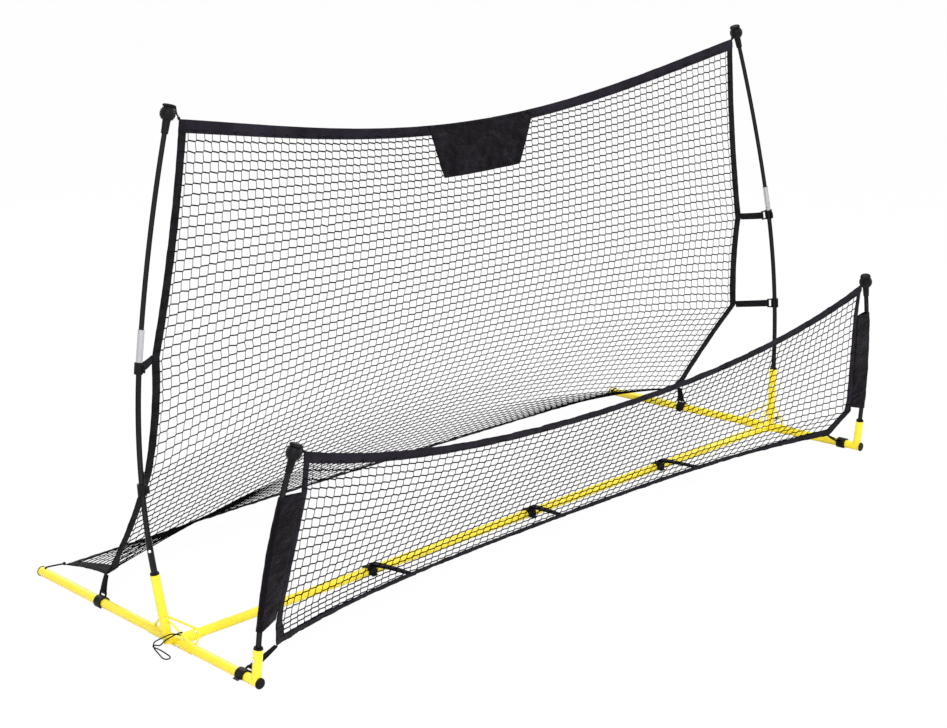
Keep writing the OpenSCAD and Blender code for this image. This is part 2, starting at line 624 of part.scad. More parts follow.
// The other leg of the spring and the bend that joins the legs
module leaf_leg(bore) {
  outer = leaf_top(bore);
  inner = outer - leaf_t;
  end = leaf_len - leaf_w + seat_gap;
  translate([-leaf_w, -leaf_w / 2, -outer]) cube([end + leaf_w, leaf_w, leaf_t]);
  translate([end, -leaf_w / 2, 0]) rotate([-90, 0, 0]) linear_extrude(leaf_w) difference() {
    circle(r = outer);
    circle(r = inner);
    translate([-outer - 1, -outer - 1]) square([outer + 1, 2 * outer + 2]);
  }
}
module button_hole() cylinder(d = button_d + 2 * button_play, h = socket_d + 8);

right_pole_turn = 225;   // direction that the right pole's button faces
left_pole_turn = -45;    // direction that the left pole's button faces, before it is mirrored
module across_pole(turn) rotate([0, 0, turn]) rotate([0, 90, 0]) children();
module left_pole_button_frame() at_main(left_button_up) across_pole(left_pole_turn) children();
module right_pole_button_frame() at_main(-right_button_down) across_pole(right_pole_turn) children();
module front_button_frame() at_front(-front_button_down) across_pole(-front_bend_turn) children();
module bar_button_frame() translate([hub_x - bar_button_at, 0, rail_z]) rotate([45, 0, 0]) children();
module rail_button_frame() base_side() translate([0, -rail_button_at, 0]) rotate([0, 105, 0]) rotate([0, 0, -90]) children();

rail_bore = rail_d - 2 * rail_wall;

// --- clips: local z runs along the gripped tube, +x points to the strap ---
module c_clip(hole, wall, gap_at, gap, tab) {
  r_in = hole / 2 + clip_fit;
  r_out = r_in + wall;
  bar_x = r_out + bail_window + bail_bar_d / 2;
  difference() {
    translate([0, 0, -clip_h / 2]) cylinder(r = r_out, h = clip_h);
    translate([0, 0, -clip_h / 2 - 1]) cylinder(r = r_in, h = clip_h + 2);
    translate([0, 0, -clip_h / 2 - 1]) linear_extrude(clip_h + 2)
      polygon(concat([[0, 0]], [for (k = [0:4]) let (a = gap_at + gap * (k / 4 - 0.5))
        2 * r_out * [cos(a), sin(a)]]));
  }
  // finger tab on one lip of the ring
  rotate([0, 0, gap_at + tab * gap / 2]) translate([r_in + wall / 2, tab > 0 ? 0 : -2, -clip_h / 2 + 4])
    cube([wall / 2 + 7, 2, clip_h - 8]);
  // bail: two arms and a bar
  for (z = [-clip_h / 2, clip_h / 2 - bail_t + strap_room])
    translate([r_in + wall / 2, -bail_bar_d / 2, z]) cube([bar_x - r_in - wall / 2, bail_bar_d, bail_t]);
  translate([bar_x, 0, -clip_h / 2]) cylinder(d = bail_bar_d, h = clip_h + strap_room, $fn = 32);
}
strap_room = 0;
function bar_reach(hole, wall) = hole / 2 + clip_fit + wall + bail_window + bail_bar_d / 2;
strap_w = clip_h - 2 * bail_t - 1;

// Loop of webbing round a bail's bar; +x leads away along the strap
module strap_loop() {
  r = bail_bar_d / 2 + seat_gap;
  linear_extrude(strap_w, center = true) difference() {
    union() {
      circle(r = r + strap_t, $fn = 32);
      translate([0, -strap_t]) square([r + strap_t + 4, 2 * strap_t]);
    }
    circle(r = r, $fn = 32);
  }
}

// Pole clip and strap frames
module high_clip_frame() at_main(high_clip_at) rotate([0, 0, high_az]) children();
module low_clip_frame() at_main(low_clip_at) rotate([0, 0, low_az]) children();
pole_bar_at = bar_reach(lower_pole_d, clip_wall);
module pole_strap(s, az, sewn) {
  bar = main_local(s) + pole_bar_at * [cos(az), sin(az), 0];
  start = main_world(bar + 4 * [cos(az), sin(az), 0]);
  at_main(s) rotate([0, 0, az]) translate([pole_bar_at, 0, 0]) strap_loop();
  band(start, sewn, [0, 0, 1], strap_w, 2 * strap_t);
}

// Clip on a rail or on the crossbar, its strap leaving towards a point
rail_bar_at = bar_reach(rail_d, rail_clip_wall);
rear_clip_pt = [hub_x - rear_clip_at * sin(toe_in), rear_clip_at * cos(toe_in), rail_z];
front_clip_y = -(front_reach - front_clip_inset);
front_clip_pt = [hub_x - front_clip_y * sin(toe_in), front_clip_y * cos(toe_in), rail_z];
front_low_corner = front_pts[3];

// Frame at a tube point: z along the tube's direction, x towards the target
module aimed(at, along, target) {
  z = unit(along);
  x = unit(target - at - z * ((target - at) * z));
  y = cross(z, x);
  multmatrix([[x.x, y.x, z.x, at.x], [x.y, y.y, z.y, at.y], [x.z, y.z, z.z, at.z], [0, 0, 0, 1]]) children();
}
rail_dir = [-sin(toe_in), cos(toe_in), 0];
module rear_clip_frame() aimed(rear_clip_pt, rail_dir, low_corner) children();
module front_clip_frame() aimed(front_clip_pt, rail_dir, front_low_corner) children();
bar_clip_rise = 60;      // direction of the crossbar clips' bails above the front
function bar_clip_target(i) = [bar_clip_x[i], -cos(bar_clip_rise), rail_z + sin(bar_clip_rise)];
module bar_clip_frame(i) aimed([bar_clip_x[i], 0, rail_z], [1, 0, 0], bar_clip_target(i)) children();
module aimed_strap(at, along, target, sewn) {
  z = unit(along);
  x = unit(target - at - z * ((target - at) * z));
  bar = at + rail_bar_at * x;
  run = unit(sewn - bar);
  aimed(bar, along, sewn) strap_loop();
  band(bar + 4 * unit(run - z * (run * z)), sewn, along, strap_w, 2 * strap_t);
}

// --- corner ties: a ring round a ball cap's crown, and its cord down to the net's corner ---
tie_up = 16.4;           // height of a tie's ring above the ball's middle, on the crown
tie_cord_d = tie_d - 0.6;
module crown_ring() rotate_extrude() translate([crown_d / 2 + tie_d / 2 + seat_gap, 0]) circle(d = tie_d, $fn = 16);
// Cord from the ring over the ball's side to the corner, with a knot where it turns
module drop_cord(neck, axis, ball, corner) {
  v = corner - neck;
  out = unit(v - axis * (v * axis));
  start = neck + (crown_d / 2 + tie_d / 2 + seat_gap) * out;
  bend = ball + (ball_d / 2 + rib_d / 4 + tie_d / 2 + 0.8) * unit(out + 0.25 * axis);
  rod(start, bend, tie_cord_d);
  translate(bend) sphere(d = tie_d + 0.4, $fn = 24);
  rod(bend, corner + 3 * unit(corner - bend), tie_cord_d);
}
main_crown = main_world(main_local(lower_pole_len + upper_pole_len + stem_len + tie_up));
front_crown = front_world(front_pole_len + stem_len + tie_up);
module top_tie() {
  at_main(lower_pole_len + upper_pole_len + stem_len + tie_up) crown_ring();
  drop_cord(main_crown, unit(main_crown - main_ball), main_ball, top_corner);
}
module front_tie() {
  at_front(front_pole_len + stem_len + tie_up) crown_ring();
  drop_cord(front_crown, unit(front_crown - front_ball), front_ball, front_pts[0]);
}
rail_tie_pt = [hub_x - (rear_reach - tie_hole_inset) * sin(toe_in), (rear_reach - tie_hole_inset) * cos(toe_in),
               rail_z + rail_d / 2 - rail_wall - 1];
module rear_tie() {
  knot = rear_corner + [2, 2, 3];
  rod(rail_tie_pt, rail_tie_pt + [0, 0, 6], tie_d);
  translate(rail_tie_pt + [0, 0, 6]) sphere(d = tie_d + 1, $fn = 24);
  rod(rail_tie_pt + [0, 0, 6], knot, tie_cord_d);
  translate(knot) sphere(d = 2.4 * tie_d, $fn = 24);
}

// --- pockets of the front net round its poles ---
pocket_s = [for (k = [0:12]) pocket_low + k * (pocket_high - pocket_low) / 12];
pocket_t = 1;            // thickness of the pocket's cloth
function pocket_section(s, r, g) =
  let (c = front_world(s), k = (s - pocket_low) / (pocket_high - pocket_low),
       edge = (1 - k) * front_pts[2] + k * front_pts[1],
       run = [edge.x - c.x, edge.y - c.y, 0], x = unit(run), y = [-x.y, x.x, 0], d = norm(run))
  concat([c + d * x - g * y], [for (a = [60:40:300]) c + r * cos(a) * x - r * sin(a) * y], [c + d * x + g * y]);
module pocket() {
  r = front_pole_d / 2 + 0.9;
  skin([for (s = pocket_s) pocket_section(s, r + pocket_t, 0.6 + pocket_t)],
       [for (s = pocket_s) pocket_section(s, r, 0.6)]);
}

// --- loose storage cords, an elastic loop hitched on each front brace ---
// Route points of the loop from the hub's centre, for the right side: back over the hub,
// down to the ground, forward along it and back up to the brace
cord_pts = [
  [10, -35.6, 45.9], [14.9, -34.6, 46.4], [19.4, -31, 44.5], [23.4, -25, 40.5], [26.9, -17, 35],
  [29.9, -8, 28.5], [31.9, 1, 21.5], [31.9, 9, 14.5], [30.9, 16, 8.5], [29.9, 22.5, 4], [29.9, 29, 1.7],
  [32.4, 34.5, 1.6], [37.4, 36, 1.6], [41.4, 32, 1.6], [42.4, 25, 1.6], [41.9, 16, 1.6], [41.9, 4, 1.6],
  [43.4, -9, 1.6], [45.4, -22, 1.6], [47.4, -34, 1.6], [50.9, -42, 1.6], [57.4, -46, 1.6], [63.9, -42.5, 1.6],
  [64.9, -34.5, 1.6], [61.4, -22, 1.6], [56.9, -9, 1.6], [52.4, 4, 1.6], [48.9, 14, 1.6], [46.4, 22, 4],
  [44.4, 26, 10], [42.4, 23, 16.5], [40.4, 15, 22], [37.9, 5, 28.5], [34.9, -5, 34.5], [30.9, -14, 40],
  [25.9, -21.5, 42.5], [20.9, -27.5, 42], [15.9, -30.5, 40.5], [12, -30.2, 38.6]];
cord_route = [for (p = cord_pts) p + [hub_x, 0, 0]];
module cord(pts, d) {
  n = len(pts);
  sides = 8;
  function tangent(i) = unit(pts[min(i + 1, n - 1)] - pts[max(i - 1, 0)]);
  function ring(i) = let (t = tangent(i), a = unit(cross(t, abs(t.z) < 0.9 ? [0, 0, 1] : [1, 0, 0])), b = cross(t, a))
    [for (k = [0:sides - 1]) pts[i] + d / 2 * (cos(360 * k / sides) * a + sin(360 * k / sides) * b)];
  points = flat([for (i = [0:n - 1]) ring(i)]);
  polyhedron(concat(points, [pts[0], pts[n - 1]]), concat(
    [for (i = [0:n - 2]) for (k = [0:sides - 1]) each let (k2 = (k + 1) % sides)
      [[i * sides + k, (i + 1) * sides + k, (i + 1) * sides + k2],
       [i * sides + k, (i + 1) * sides + k2, i * sides + k2]]],
    [for (k = [0:sides - 1]) let (k2 = (k + 1) % sides) [n * sides, k, k2]],
    [for (k = [0:sides - 1]) let (k2 = (k + 1) % sides)
      [n * sides + 1, (n - 1) * sides + k2, (n - 1) * sides + k]]));
}

// --- nodes ---
module left_hub() color(FRAME_COLOR) side(-1) hub();
module right_hub() color(FRAME_COLOR) side(1) hub();
module left_front_rail() color(FRAME_COLOR) side(-1) front_rail();
module right_front_rail() color(FRAME_COLOR) side(1) front_rail();
module left_rear_rail() color(FRAME_COLOR) side(-1) rear_rail();
module right_rear_rail() color(FRAME_COLOR) side(1) rear_rail();
module left_crossbar() color(FRAME_COLOR) side(-1) side_bar();
module centre_crossbar() color(FRAME_COLOR) placed() centre_bar();
module right_crossbar() color(FRAME_COLOR) side(1) side_bar();
module rail_end_caps() color(PLASTIC) both() rail_caps();
module main_socket_bushes() color(PLASTIC) both() at_main(0) bush(base_tube_d);
module front_socket_bushes() color(PLASTIC) both() at_front(0) bush(front_pole_d);
module left_pole_foot() color(BLACK) side(-1) difference() {
  pole_foot(left_tube_show);
  left_pole_button_frame() button_hole();
}
module right_pole_foot() color(BLACK) side(1) difference() {
  pole_foot(right_tube_show);
  right_pole_button_frame() button_hole();
}
module left_lower_pole() color(BLACK) side(-1)
  main_bow(left_tube_show - rod_in, lower_pole_len, lower_pole_d);
module right_lower_pole() color(BLACK) side(1)
  main_bow(right_tube_show - rod_in, lower_pole_len, lower_pole_d);
module pole_ferrules() color(STEEL) both() ferrule();
module left_upper_pole() color(BLACK) side(-1) upper_pole();
module right_upper_pole() color(BLACK) side(1) upper_pole();
module upper_pole() main_bow(lower_pole_len + seat_gap, lower_pole_len + upper_pole_len + cap_plug - 1, upper_pole_d);
module main_pole_caps() color(PLASTIC) both() at_main(lower_pole_len + upper_pole_len) ball_cap(upper_pole_d);
module left_front_pole() color(BLACK) side(-1) front_pole();
module right_front_pole() color(BLACK) side(1) front_pole();
module front_pole_caps() color(PLASTIC) both() at_front(front_pole_len) ball_cap(front_pole_d);
module left_pole_button() color(STEEL) side(-1) left_pole_button_frame() snap_button(lower_foot_bore, base_tube_d / 2);
module right_pole_button() color(STEEL) side(1) right_pole_button_frame() snap_button(lower_foot_bore, socket_d / 2);
module left_front_button() color(STEEL) side(-1) front_button_frame() snap_button(front_pole_bore, socket_d / 2);
module right_front_button() color(STEEL) side(1) front_button_frame() snap_button(front_pole_bore, socket_d / 2);
module left_bar_button() color(STEEL) side(-1) bar_button_frame() snap_button(rail_bore, hub_d / 2);
module right_bar_button() color(STEEL) side(1) bar_button_frame() snap_button(rail_bore, hub_d / 2);
module left_rail_button() color(STEEL) side(-1) rail_button_frame() snap_button(rail_bore, hub_d / 2);
module right_rail_button() color(STEEL) side(1) rail_button_frame() snap_button(rail_bore, hub_d / 2);
module button_springs() color(STEEL) {
  side(-1) left_pole_button_frame() leaf_leg(lower_foot_bore);
  side(1) right_pole_button_frame() leaf_leg(lower_foot_bore);
  both() front_button_frame() leaf_leg(front_pole_bore);
  both() bar_button_frame() leaf_leg(rail_bore);
  both() rail_button_frame() leaf_leg(rail_bore);
}
module pole_clip() c_clip(lower_pole_d, clip_wall, 75, 70, 1);
module left_high_clip() color(PLASTIC) side(-1) high_clip_frame() pole_clip();
module right_high_clip() color(PLASTIC) side(1) high_clip_frame() pole_clip();
module left_low_clip() color(PLASTIC) side(-1) low_clip_frame() pole_clip();
module right_low_clip() color(PLASTIC) side(1) low_clip_frame() pole_clip();
module rear_rail_clips() color(PLASTIC) both() rear_clip_frame() c_clip(rail_d, rail_clip_wall, 205, 110, 1);
module front_rail_clips() color(PLASTIC) both() front_clip_frame() c_clip(rail_d, rail_clip_wall, 225, 120, -1);
module crossbar_clips() color(PLASTIC) placed() for (i = [0:2])
  bar_clip_frame(i) c_clip(rail_d, rail_clip_wall, 130, 100, -1);
module pole_straps() color(FABRIC) both() {
  pole_strap(high_clip_at, high_az, high_sewn);
  pole_strap(low_clip_at, low_az, low_sewn);
}
module rear_rail_straps() color(FABRIC) both() aimed_strap(rear_clip_pt, rail_dir, low_corner, low_corner);
module front_rail_straps() color(FABRIC) both()
  aimed_strap(front_clip_pt, rail_dir, front_low_corner, front_low_corner);
module crossbar_straps() color(FABRIC) placed() for (i = [0:2])
  aimed_strap([bar_clip_x[i], 0, rail_z], [1, 0, 0], bar_clip_target(i), front_pt(bar_strap_x[i] / front_low_corner.x, 1));
module top_corner_ties() color(BLACK) both() top_tie();
module rear_corner_ties() color(BLACK) both() rear_tie();
module front_corner_ties() color(BLACK) both() front_tie();
module main_net() color(BLACK) placed() netting(main_grid(main_us, main_vs), net_t);
module main_net_top_hem() color(FABRIC) placed()
  sheet(main_grid(concat([-1], main_us, [1]), [0, top_hem_v]), hem_t);
module main_net_side_hems() color(FABRIC) placed() for (e = [[-1, -1 + side_hem_u], [1 - side_hem_u, 1]])
  sheet(main_grid(e, main_vs), hem_t);
module main_net_rear_hem() color(FABRIC) placed()
  sheet(main_grid(concat([-1], main_us, [1]), [1 - rear_hem_v, 1]), hem_t);
module net_banner() color(FABRIC) placed() {
  sheet([for (k = [0:2]) let (h = banner_top_half + (banner_low_half - banner_top_half) * k / 2,
    v = banner_h / 1120 * k / 2) [for (i = [-4:4])
      main_pt(i / 4 * h / side_at(v * main_rows).x, v) - [0, banner_off, 0]]], 1);
}
banner_off = hem_t / 2 + 0.8;
module front_net() color(BLACK) placed() netting(front_grid(front_us, front_vs), net_t);
module front_net_top_hem() color(FABRIC) placed()
  sheet(front_grid(concat([-1], front_us, [1]), [0, front_hem_v]), hem_t);
module front_net_bottom_hem() color(FABRIC) placed()
  sheet(front_grid(concat([-1], front_us, [1]), [1 - front_low_v, 1]), hem_t);
module front_net_side_hems() color(FABRIC) placed() for (e = [[-1, -1 + front_side_u], [1 - front_side_u, 1]])
  sheet(front_grid(e, front_vs), hem_t);
module pole_pockets() color(FABRIC) both() pocket();
module left_tie_cord() color(BLACK) side(-1) cord(cord_route, cord_d);
module right_tie_cord() color(BLACK) side(1) cord(cord_route, cord_d);

left_hub();
right_hub();
left_front_rail();
right_front_rail();
left_rear_rail();
right_rear_rail();
left_crossbar();
centre_crossbar();
right_crossbar();
rail_end_caps();
main_socket_bushes();
front_socket_bushes();
left_pole_foot();
right_pole_foot();
left_lower_pole();
right_lower_pole();
pole_ferrules();
left_upper_pole();
right_upper_pole();
main_pole_caps();
left_front_pole();
right_front_pole();
front_pole_caps();
left_pole_button();
right_pole_button();
left_front_button();
right_front_button();
left_bar_button();
right_bar_button();
left_rail_button();
right_rail_button();
button_springs();
left_high_clip();
right_high_clip();
left_low_clip();
right_low_clip();
rear_rail_clips();
front_rail_clips();
crossbar_clips();
pole_straps();
rear_rail_straps();
front_rail_straps();
crossbar_straps();
top_corner_ties();
rear_corner_ties();
front_corner_ties();
main_net();
main_net_top_hem();
main_net_side_hems();
main_net_rear_hem();
net_banner();
front_net();
front_net_top_hem();
front_net_bottom_hem();
front_net_side_hems();
pole_pockets();
left_tie_cord();
right_tie_cord();
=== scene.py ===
"""Looks of a two-net ball rebounder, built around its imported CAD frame. Metres throughout."""

import math

import bpy
import numpy as np
from mathutils import Matrix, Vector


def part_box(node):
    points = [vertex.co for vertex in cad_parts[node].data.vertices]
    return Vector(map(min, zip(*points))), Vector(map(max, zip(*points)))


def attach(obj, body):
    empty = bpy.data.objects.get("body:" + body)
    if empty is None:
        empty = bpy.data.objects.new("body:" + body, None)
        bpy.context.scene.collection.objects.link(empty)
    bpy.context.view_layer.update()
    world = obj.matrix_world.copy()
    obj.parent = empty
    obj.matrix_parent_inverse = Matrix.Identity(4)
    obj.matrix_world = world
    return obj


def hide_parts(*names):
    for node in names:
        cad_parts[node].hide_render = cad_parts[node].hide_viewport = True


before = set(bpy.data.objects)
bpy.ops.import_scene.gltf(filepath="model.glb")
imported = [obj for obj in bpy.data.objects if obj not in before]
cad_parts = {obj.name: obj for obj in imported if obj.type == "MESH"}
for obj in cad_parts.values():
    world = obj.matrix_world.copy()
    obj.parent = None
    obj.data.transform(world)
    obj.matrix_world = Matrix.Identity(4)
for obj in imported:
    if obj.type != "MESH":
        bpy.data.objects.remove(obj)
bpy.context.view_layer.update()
BODY = "stand"

# --- places, from the frame where it gives them and from the part's own sizes elsewhere ---
SLEEVE_LEN, PLUG = 0.062, 0.045
HUB_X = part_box("right_crossbar")[1].x + SLEEVE_LEN - PLUG
HUB_Y = (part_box("centre_crossbar")[0].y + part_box("centre_crossbar")[1].y) / 2
RAIL_Z = (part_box("centre_crossbar")[0].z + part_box("centre_crossbar")[1].z) / 2
RAIL_D = 0.022
TOE = math.radians(3.56)
FRONT_REACH, REAR_REACH, SOCKET_INSET = 0.312, 0.578, 0.016

MAIN_LEAN, MAIN_RAKE = math.radians(7), math.radians(3.5)
MAIN_SOCKET, MAIN_OUT, MAIN_BACK = 0.165, 0.018, 0.006
LOWER_LEN, LOWER_R, UPPER_LEN, UPPER_R = 0.509, 1.64, 0.4535, 3.765
POLE_D = 0.012
FRONT_SOCKET, FRONT_LEN, FRONT_R, FRONT_TURN = 0.077, 0.392, 1.474, math.radians(-0.1)
FRONT_LEAN, FRONT_RAKE = math.radians(1.5), math.radians(6.5)
FRONT_POLE_D = 0.012
STEM_LEN, BALL_D, CROWN_D, TIE_UP, TIE_D = 0.043, 0.034, 0.02, 0.0164, 0.004

CLIP_FIT, POLE_CLIP_WALL, RAIL_CLIP_WALL = 0.0003, 0.0042, 0.0038
BAIL_WINDOW, BAIL_BAR_D, STRAP_T, STRAP_W = 0.007, 0.004, 0.0014, 0.018
HIGH_CLIP, HIGH_AZ, HIGH_REACH = 0.461, math.radians(145.3), 0.084
LOW_CLIP, LOW_AZ, LOW_REACH = 0.196, math.radians(128.8), 0.112
REAR_CLIP, FRONT_CLIP_INSET = 0.308, 0.062
BAR_CLIP_X, BAR_STRAP_X = (-0.505, 0.055, 0.575), (-0.533, 0.0, 0.533)
BAR_CLIP_RISE = math.radians(60)

TOP_HEM, SIDE_HEM, REAR_HEM = 0.025, 0.022, 0.018
FRONT_HEM, FRONT_LOW_HEM, FRONT_SIDE_HEM = 0.019, 0.013, 0.016
# the nets' depths and half width, which turn hem widths into shares of v and u
MAIN_DROP, MAIN_HALF, FRONT_DROP = 1.22, 1.03, 0.34
HEM_T, BANNER_T, POCKET_T = 0.003, 0.0009, 0.001
BANNER_TOP, BANNER_LOW, BANNER_H = 0.186, 0.132, 0.123
POCKET_LOW, POCKET_HIGH, POCKET_FLAT_W = 0.041, 0.338, 0.122
CORD_D, TIE_HOLE_INSET, SEAT_GAP = 0.003, 0.02, 0.0003
THREAD_PITCH, THREAD_LEN, THREAD_W = 0.006, 0.0036, 0.0004


def vec(*p):
    """A point or direction."""
    return np.array(p, float)


def unit(v):
    return v / np.linalg.norm(v)


def rot_x(a, p):
    """The point p turned about the X axis."""
    return vec(p[0], p[1] * math.cos(a) - p[2] * math.sin(a), p[1] * math.sin(a) + p[2] * math.cos(a))


def rot_y(a, p):
    """The point p turned about the Y axis."""
    return vec(p[0] * math.cos(a) + p[2] * math.sin(a), p[1], p[2] * math.cos(a) - p[0] * math.sin(a))


def rot_z(a, p):
    """The point p turned about the Z axis."""
    return vec(p[0] * math.cos(a) - p[1] * math.sin(a), p[0] * math.sin(a) + p[1] * math.cos(a), p[2])


def arc(radius, start, lean):
    """How far a rod bent to this radius gets between two leans, in its own plane."""
    return vec(radius * (math.cos(lean) - math.cos(start)), 0, radius * (math.sin(start) - math.sin(lean)))


# --- the poles' curves, for the right side ---
MAIN_AXIS = vec(math.sin(MAIN_LEAN), math.cos(MAIN_LEAN) * math.sin(MAIN_RAKE),
              math.cos(MAIN_LEAN) * math.cos(MAIN_RAKE))
MOUTH = vec(HUB_X + MAIN_OUT, HUB_Y + MAIN_BACK, RAIL_Z) + MAIN_SOCKET * MAIN_AXIS
JOIN_LEAN = MAIN_LEAN - LOWER_LEN / LOWER_R
TIP_LEAN = JOIN_LEAN - UPPER_LEN / UPPER_R
FRONT_Y = -(FRONT_REACH - SOCKET_INSET)


def front_dir(v):
    """A direction beside the front socket, turned with the socket's lean and rake."""
    return rot_x(FRONT_RAKE, rot_y(-FRONT_LEAN, v))


FRONT_MOUTH = (vec(HUB_X - FRONT_Y * math.sin(TOE), HUB_Y + FRONT_Y * math.cos(TOE), RAIL_Z)
               + FRONT_SOCKET * front_dir(vec(0, 0, 1)))


def main_lean(s):
    """Lean of the tall pole from the upright at the length s above its socket."""
    return MAIN_LEAN - s / LOWER_R if s <= LOWER_LEN else max(JOIN_LEAN - (s - LOWER_LEN) / UPPER_R, TIP_LEAN)


def main_local(s):
    """Place on the tall pole in the pole's own plane."""
    if s <= LOWER_LEN:
        return arc(LOWER_R, MAIN_LEAN, main_lean(s))
    p = arc(LOWER_R, MAIN_LEAN, JOIN_LEAN) + arc(UPPER_R, JOIN_LEAN, main_lean(s))
    past = max(0, s - LOWER_LEN - UPPER_LEN)
    return p + past * vec(math.sin(TIP_LEAN), 0, math.cos(TIP_LEAN))


def main_world(p):
    """A place in the tall pole's plane, turned with the socket's rake and put on its mouth."""
    return MOUTH + rot_x(-MAIN_RAKE, p)


def main_dir(s, v):
    """A direction beside the tall pole at the length s."""
    return rot_x(-MAIN_RAKE, rot_y(main_lean(s), v))


def front_lean(s):
    return -min(s, FRONT_LEN) / FRONT_R


def front_world(s):
    """Place on the front pole at the length s above its socket."""
    p = arc(FRONT_R, 0, front_lean(s))
    past = max(0, s - FRONT_LEN)
    p = p + past * vec(math.sin(front_lean(s)), 0, math.cos(front_lean(s)))
    return FRONT_MOUTH + front_dir(rot_z(FRONT_TURN, p))


def front_axis(s):
    """Direction of the front pole at the length s."""
    return front_dir(rot_z(FRONT_TURN, vec(math.sin(front_lean(s)), 0, math.cos(front_lean(s)))))


# --- the nets' surfaces: u runs across from -1 to 1, v from the top edge (0) to the low edge (1) ---
HIGH_SEWN = main_world(main_local(HIGH_CLIP) + HIGH_REACH * vec(math.cos(HIGH_AZ), math.sin(HIGH_AZ), 0))
LOW_SEWN = main_world(main_local(LOW_CLIP) + LOW_REACH * vec(math.cos(LOW_AZ), math.sin(LOW_AZ), 0))
LOW_CORNER = vec(HUB_X - 0.036, HUB_Y + REAR_CLIP - 0.002, 0.076)
REAR_CORNER = vec(HUB_X - 0.078, HUB_Y + REAR_REACH - 0.042, 0.027)
MAIN_BALL = main_world(main_local(LOWER_LEN + UPPER_LEN + STEM_LEN))
TOP_CORNER = MAIN_BALL + vec(-0.025, -0.006, -0.014)
SIDE = np.array([TOP_CORNER, HIGH_SEWN, LOW_SEWN, LOW_CORNER, REAR_CORNER])
SIDE_ROWS, MAIN_ROWS, SCALLOP = (0, 4, 6, 9, 11), 11, 0.009
MID = np.array([vec(0, HUB_Y + 0.108, 1.032), vec(0, HUB_Y + 0.1, 0.4), vec(0, HUB_Y + 0.28, 0.235),
                vec(0, HUB_Y + REAR_REACH - 0.043, 0.034)])

FRONT_BALL = front_world(FRONT_LEN + STEM_LEN)
FRONT_SIDE = np.array([FRONT_BALL + vec(-0.025, -0.004, -0.002),
                       front_world(POCKET_HIGH) + vec(-0.05, -0.004, 0),
                       front_world(POCKET_LOW) + vec(-0.047, 0.004, 0),
                       vec(HUB_X - 0.069, HUB_Y - FRONT_REACH + 0.053, 0.056)])
FRONT_BREAKS, FRONT_ROWS = (0, 1, 4, 5), 5
FRONT_TOP_MID = vec(0, FRONT_SIDE[0][1] + 0.013, 0.389)
FRONT_LOW_MID = vec(0, HUB_Y - 0.172, 0.061)


def along(points, breaks, row, sag=0.0):
    """Points of a side edge at the given rows, sagging inward between its breaks."""
    row = np.asarray(row, float)
    span = np.clip(np.searchsorted(breaks, row, side="left") - 1, 0, len(breaks) - 2)
    start, end = np.array(breaks, float)[span], np.array(breaks, float)[span + 1]
    share = ((row - start) / (end - start))[..., None]
    p = (1 - share) * points[span] + share * points[span + 1]
    p[..., 0] -= (4 * sag * share * (1 - share))[..., 0]
    return p


def between(u, middle, edge, weight):
    """A row's points: from the net's middle line at u = 0 to its side edge at u = -1 and 1."""
    p = (1 - weight) * middle + weight * edge
    p[..., 0] = u * edge[..., 0]
    return p


def main_surface(u, v):
    """The tall net: its middle line is a smooth curve on the points MID, its side edge goes through SIDE, and
    the rows near the top hem are fuller than a parabola."""
    t = (v * (0.62 + 0.38 * v))[..., None]
    middle = ((1 - t) ** 3 * MID[0] + 3 * t * (1 - t) ** 2 * MID[1] + 3 * t * t * (1 - t) * MID[2]
              + t**3 * MID[3])
    weight = (u * u * (1 + 0.3 * (1 - u * u) * (1 - v)))[..., None]
    return between(u, middle, along(SIDE, SIDE_ROWS, v * MAIN_ROWS, SCALLOP), weight)


def front_surface(u, v):
    """The low net: its middle line is straight, and its low rows are flatter in the middle than the top ones."""
    middle = (1 - v[..., None]) * FRONT_TOP_MID + v[..., None] * FRONT_LOW_MID
    round_share = 0.73 - 0.35 * v
    weight = (u * u * (round_share + (1 - round_share) * u * u))[..., None]
    return between(u, middle, along(FRONT_SIDE, FRONT_BREAKS, v * FRONT_ROWS), weight)


def normals(grid):
    """Unit normals of a grid of points."""
    a, b = np.gradient(grid, axis=0), np.gradient(grid, axis=1)
    n = np.cross(a, b)
    return n / np.maximum(np.linalg.norm(n, axis=-1, keepdims=True), 1e-12)


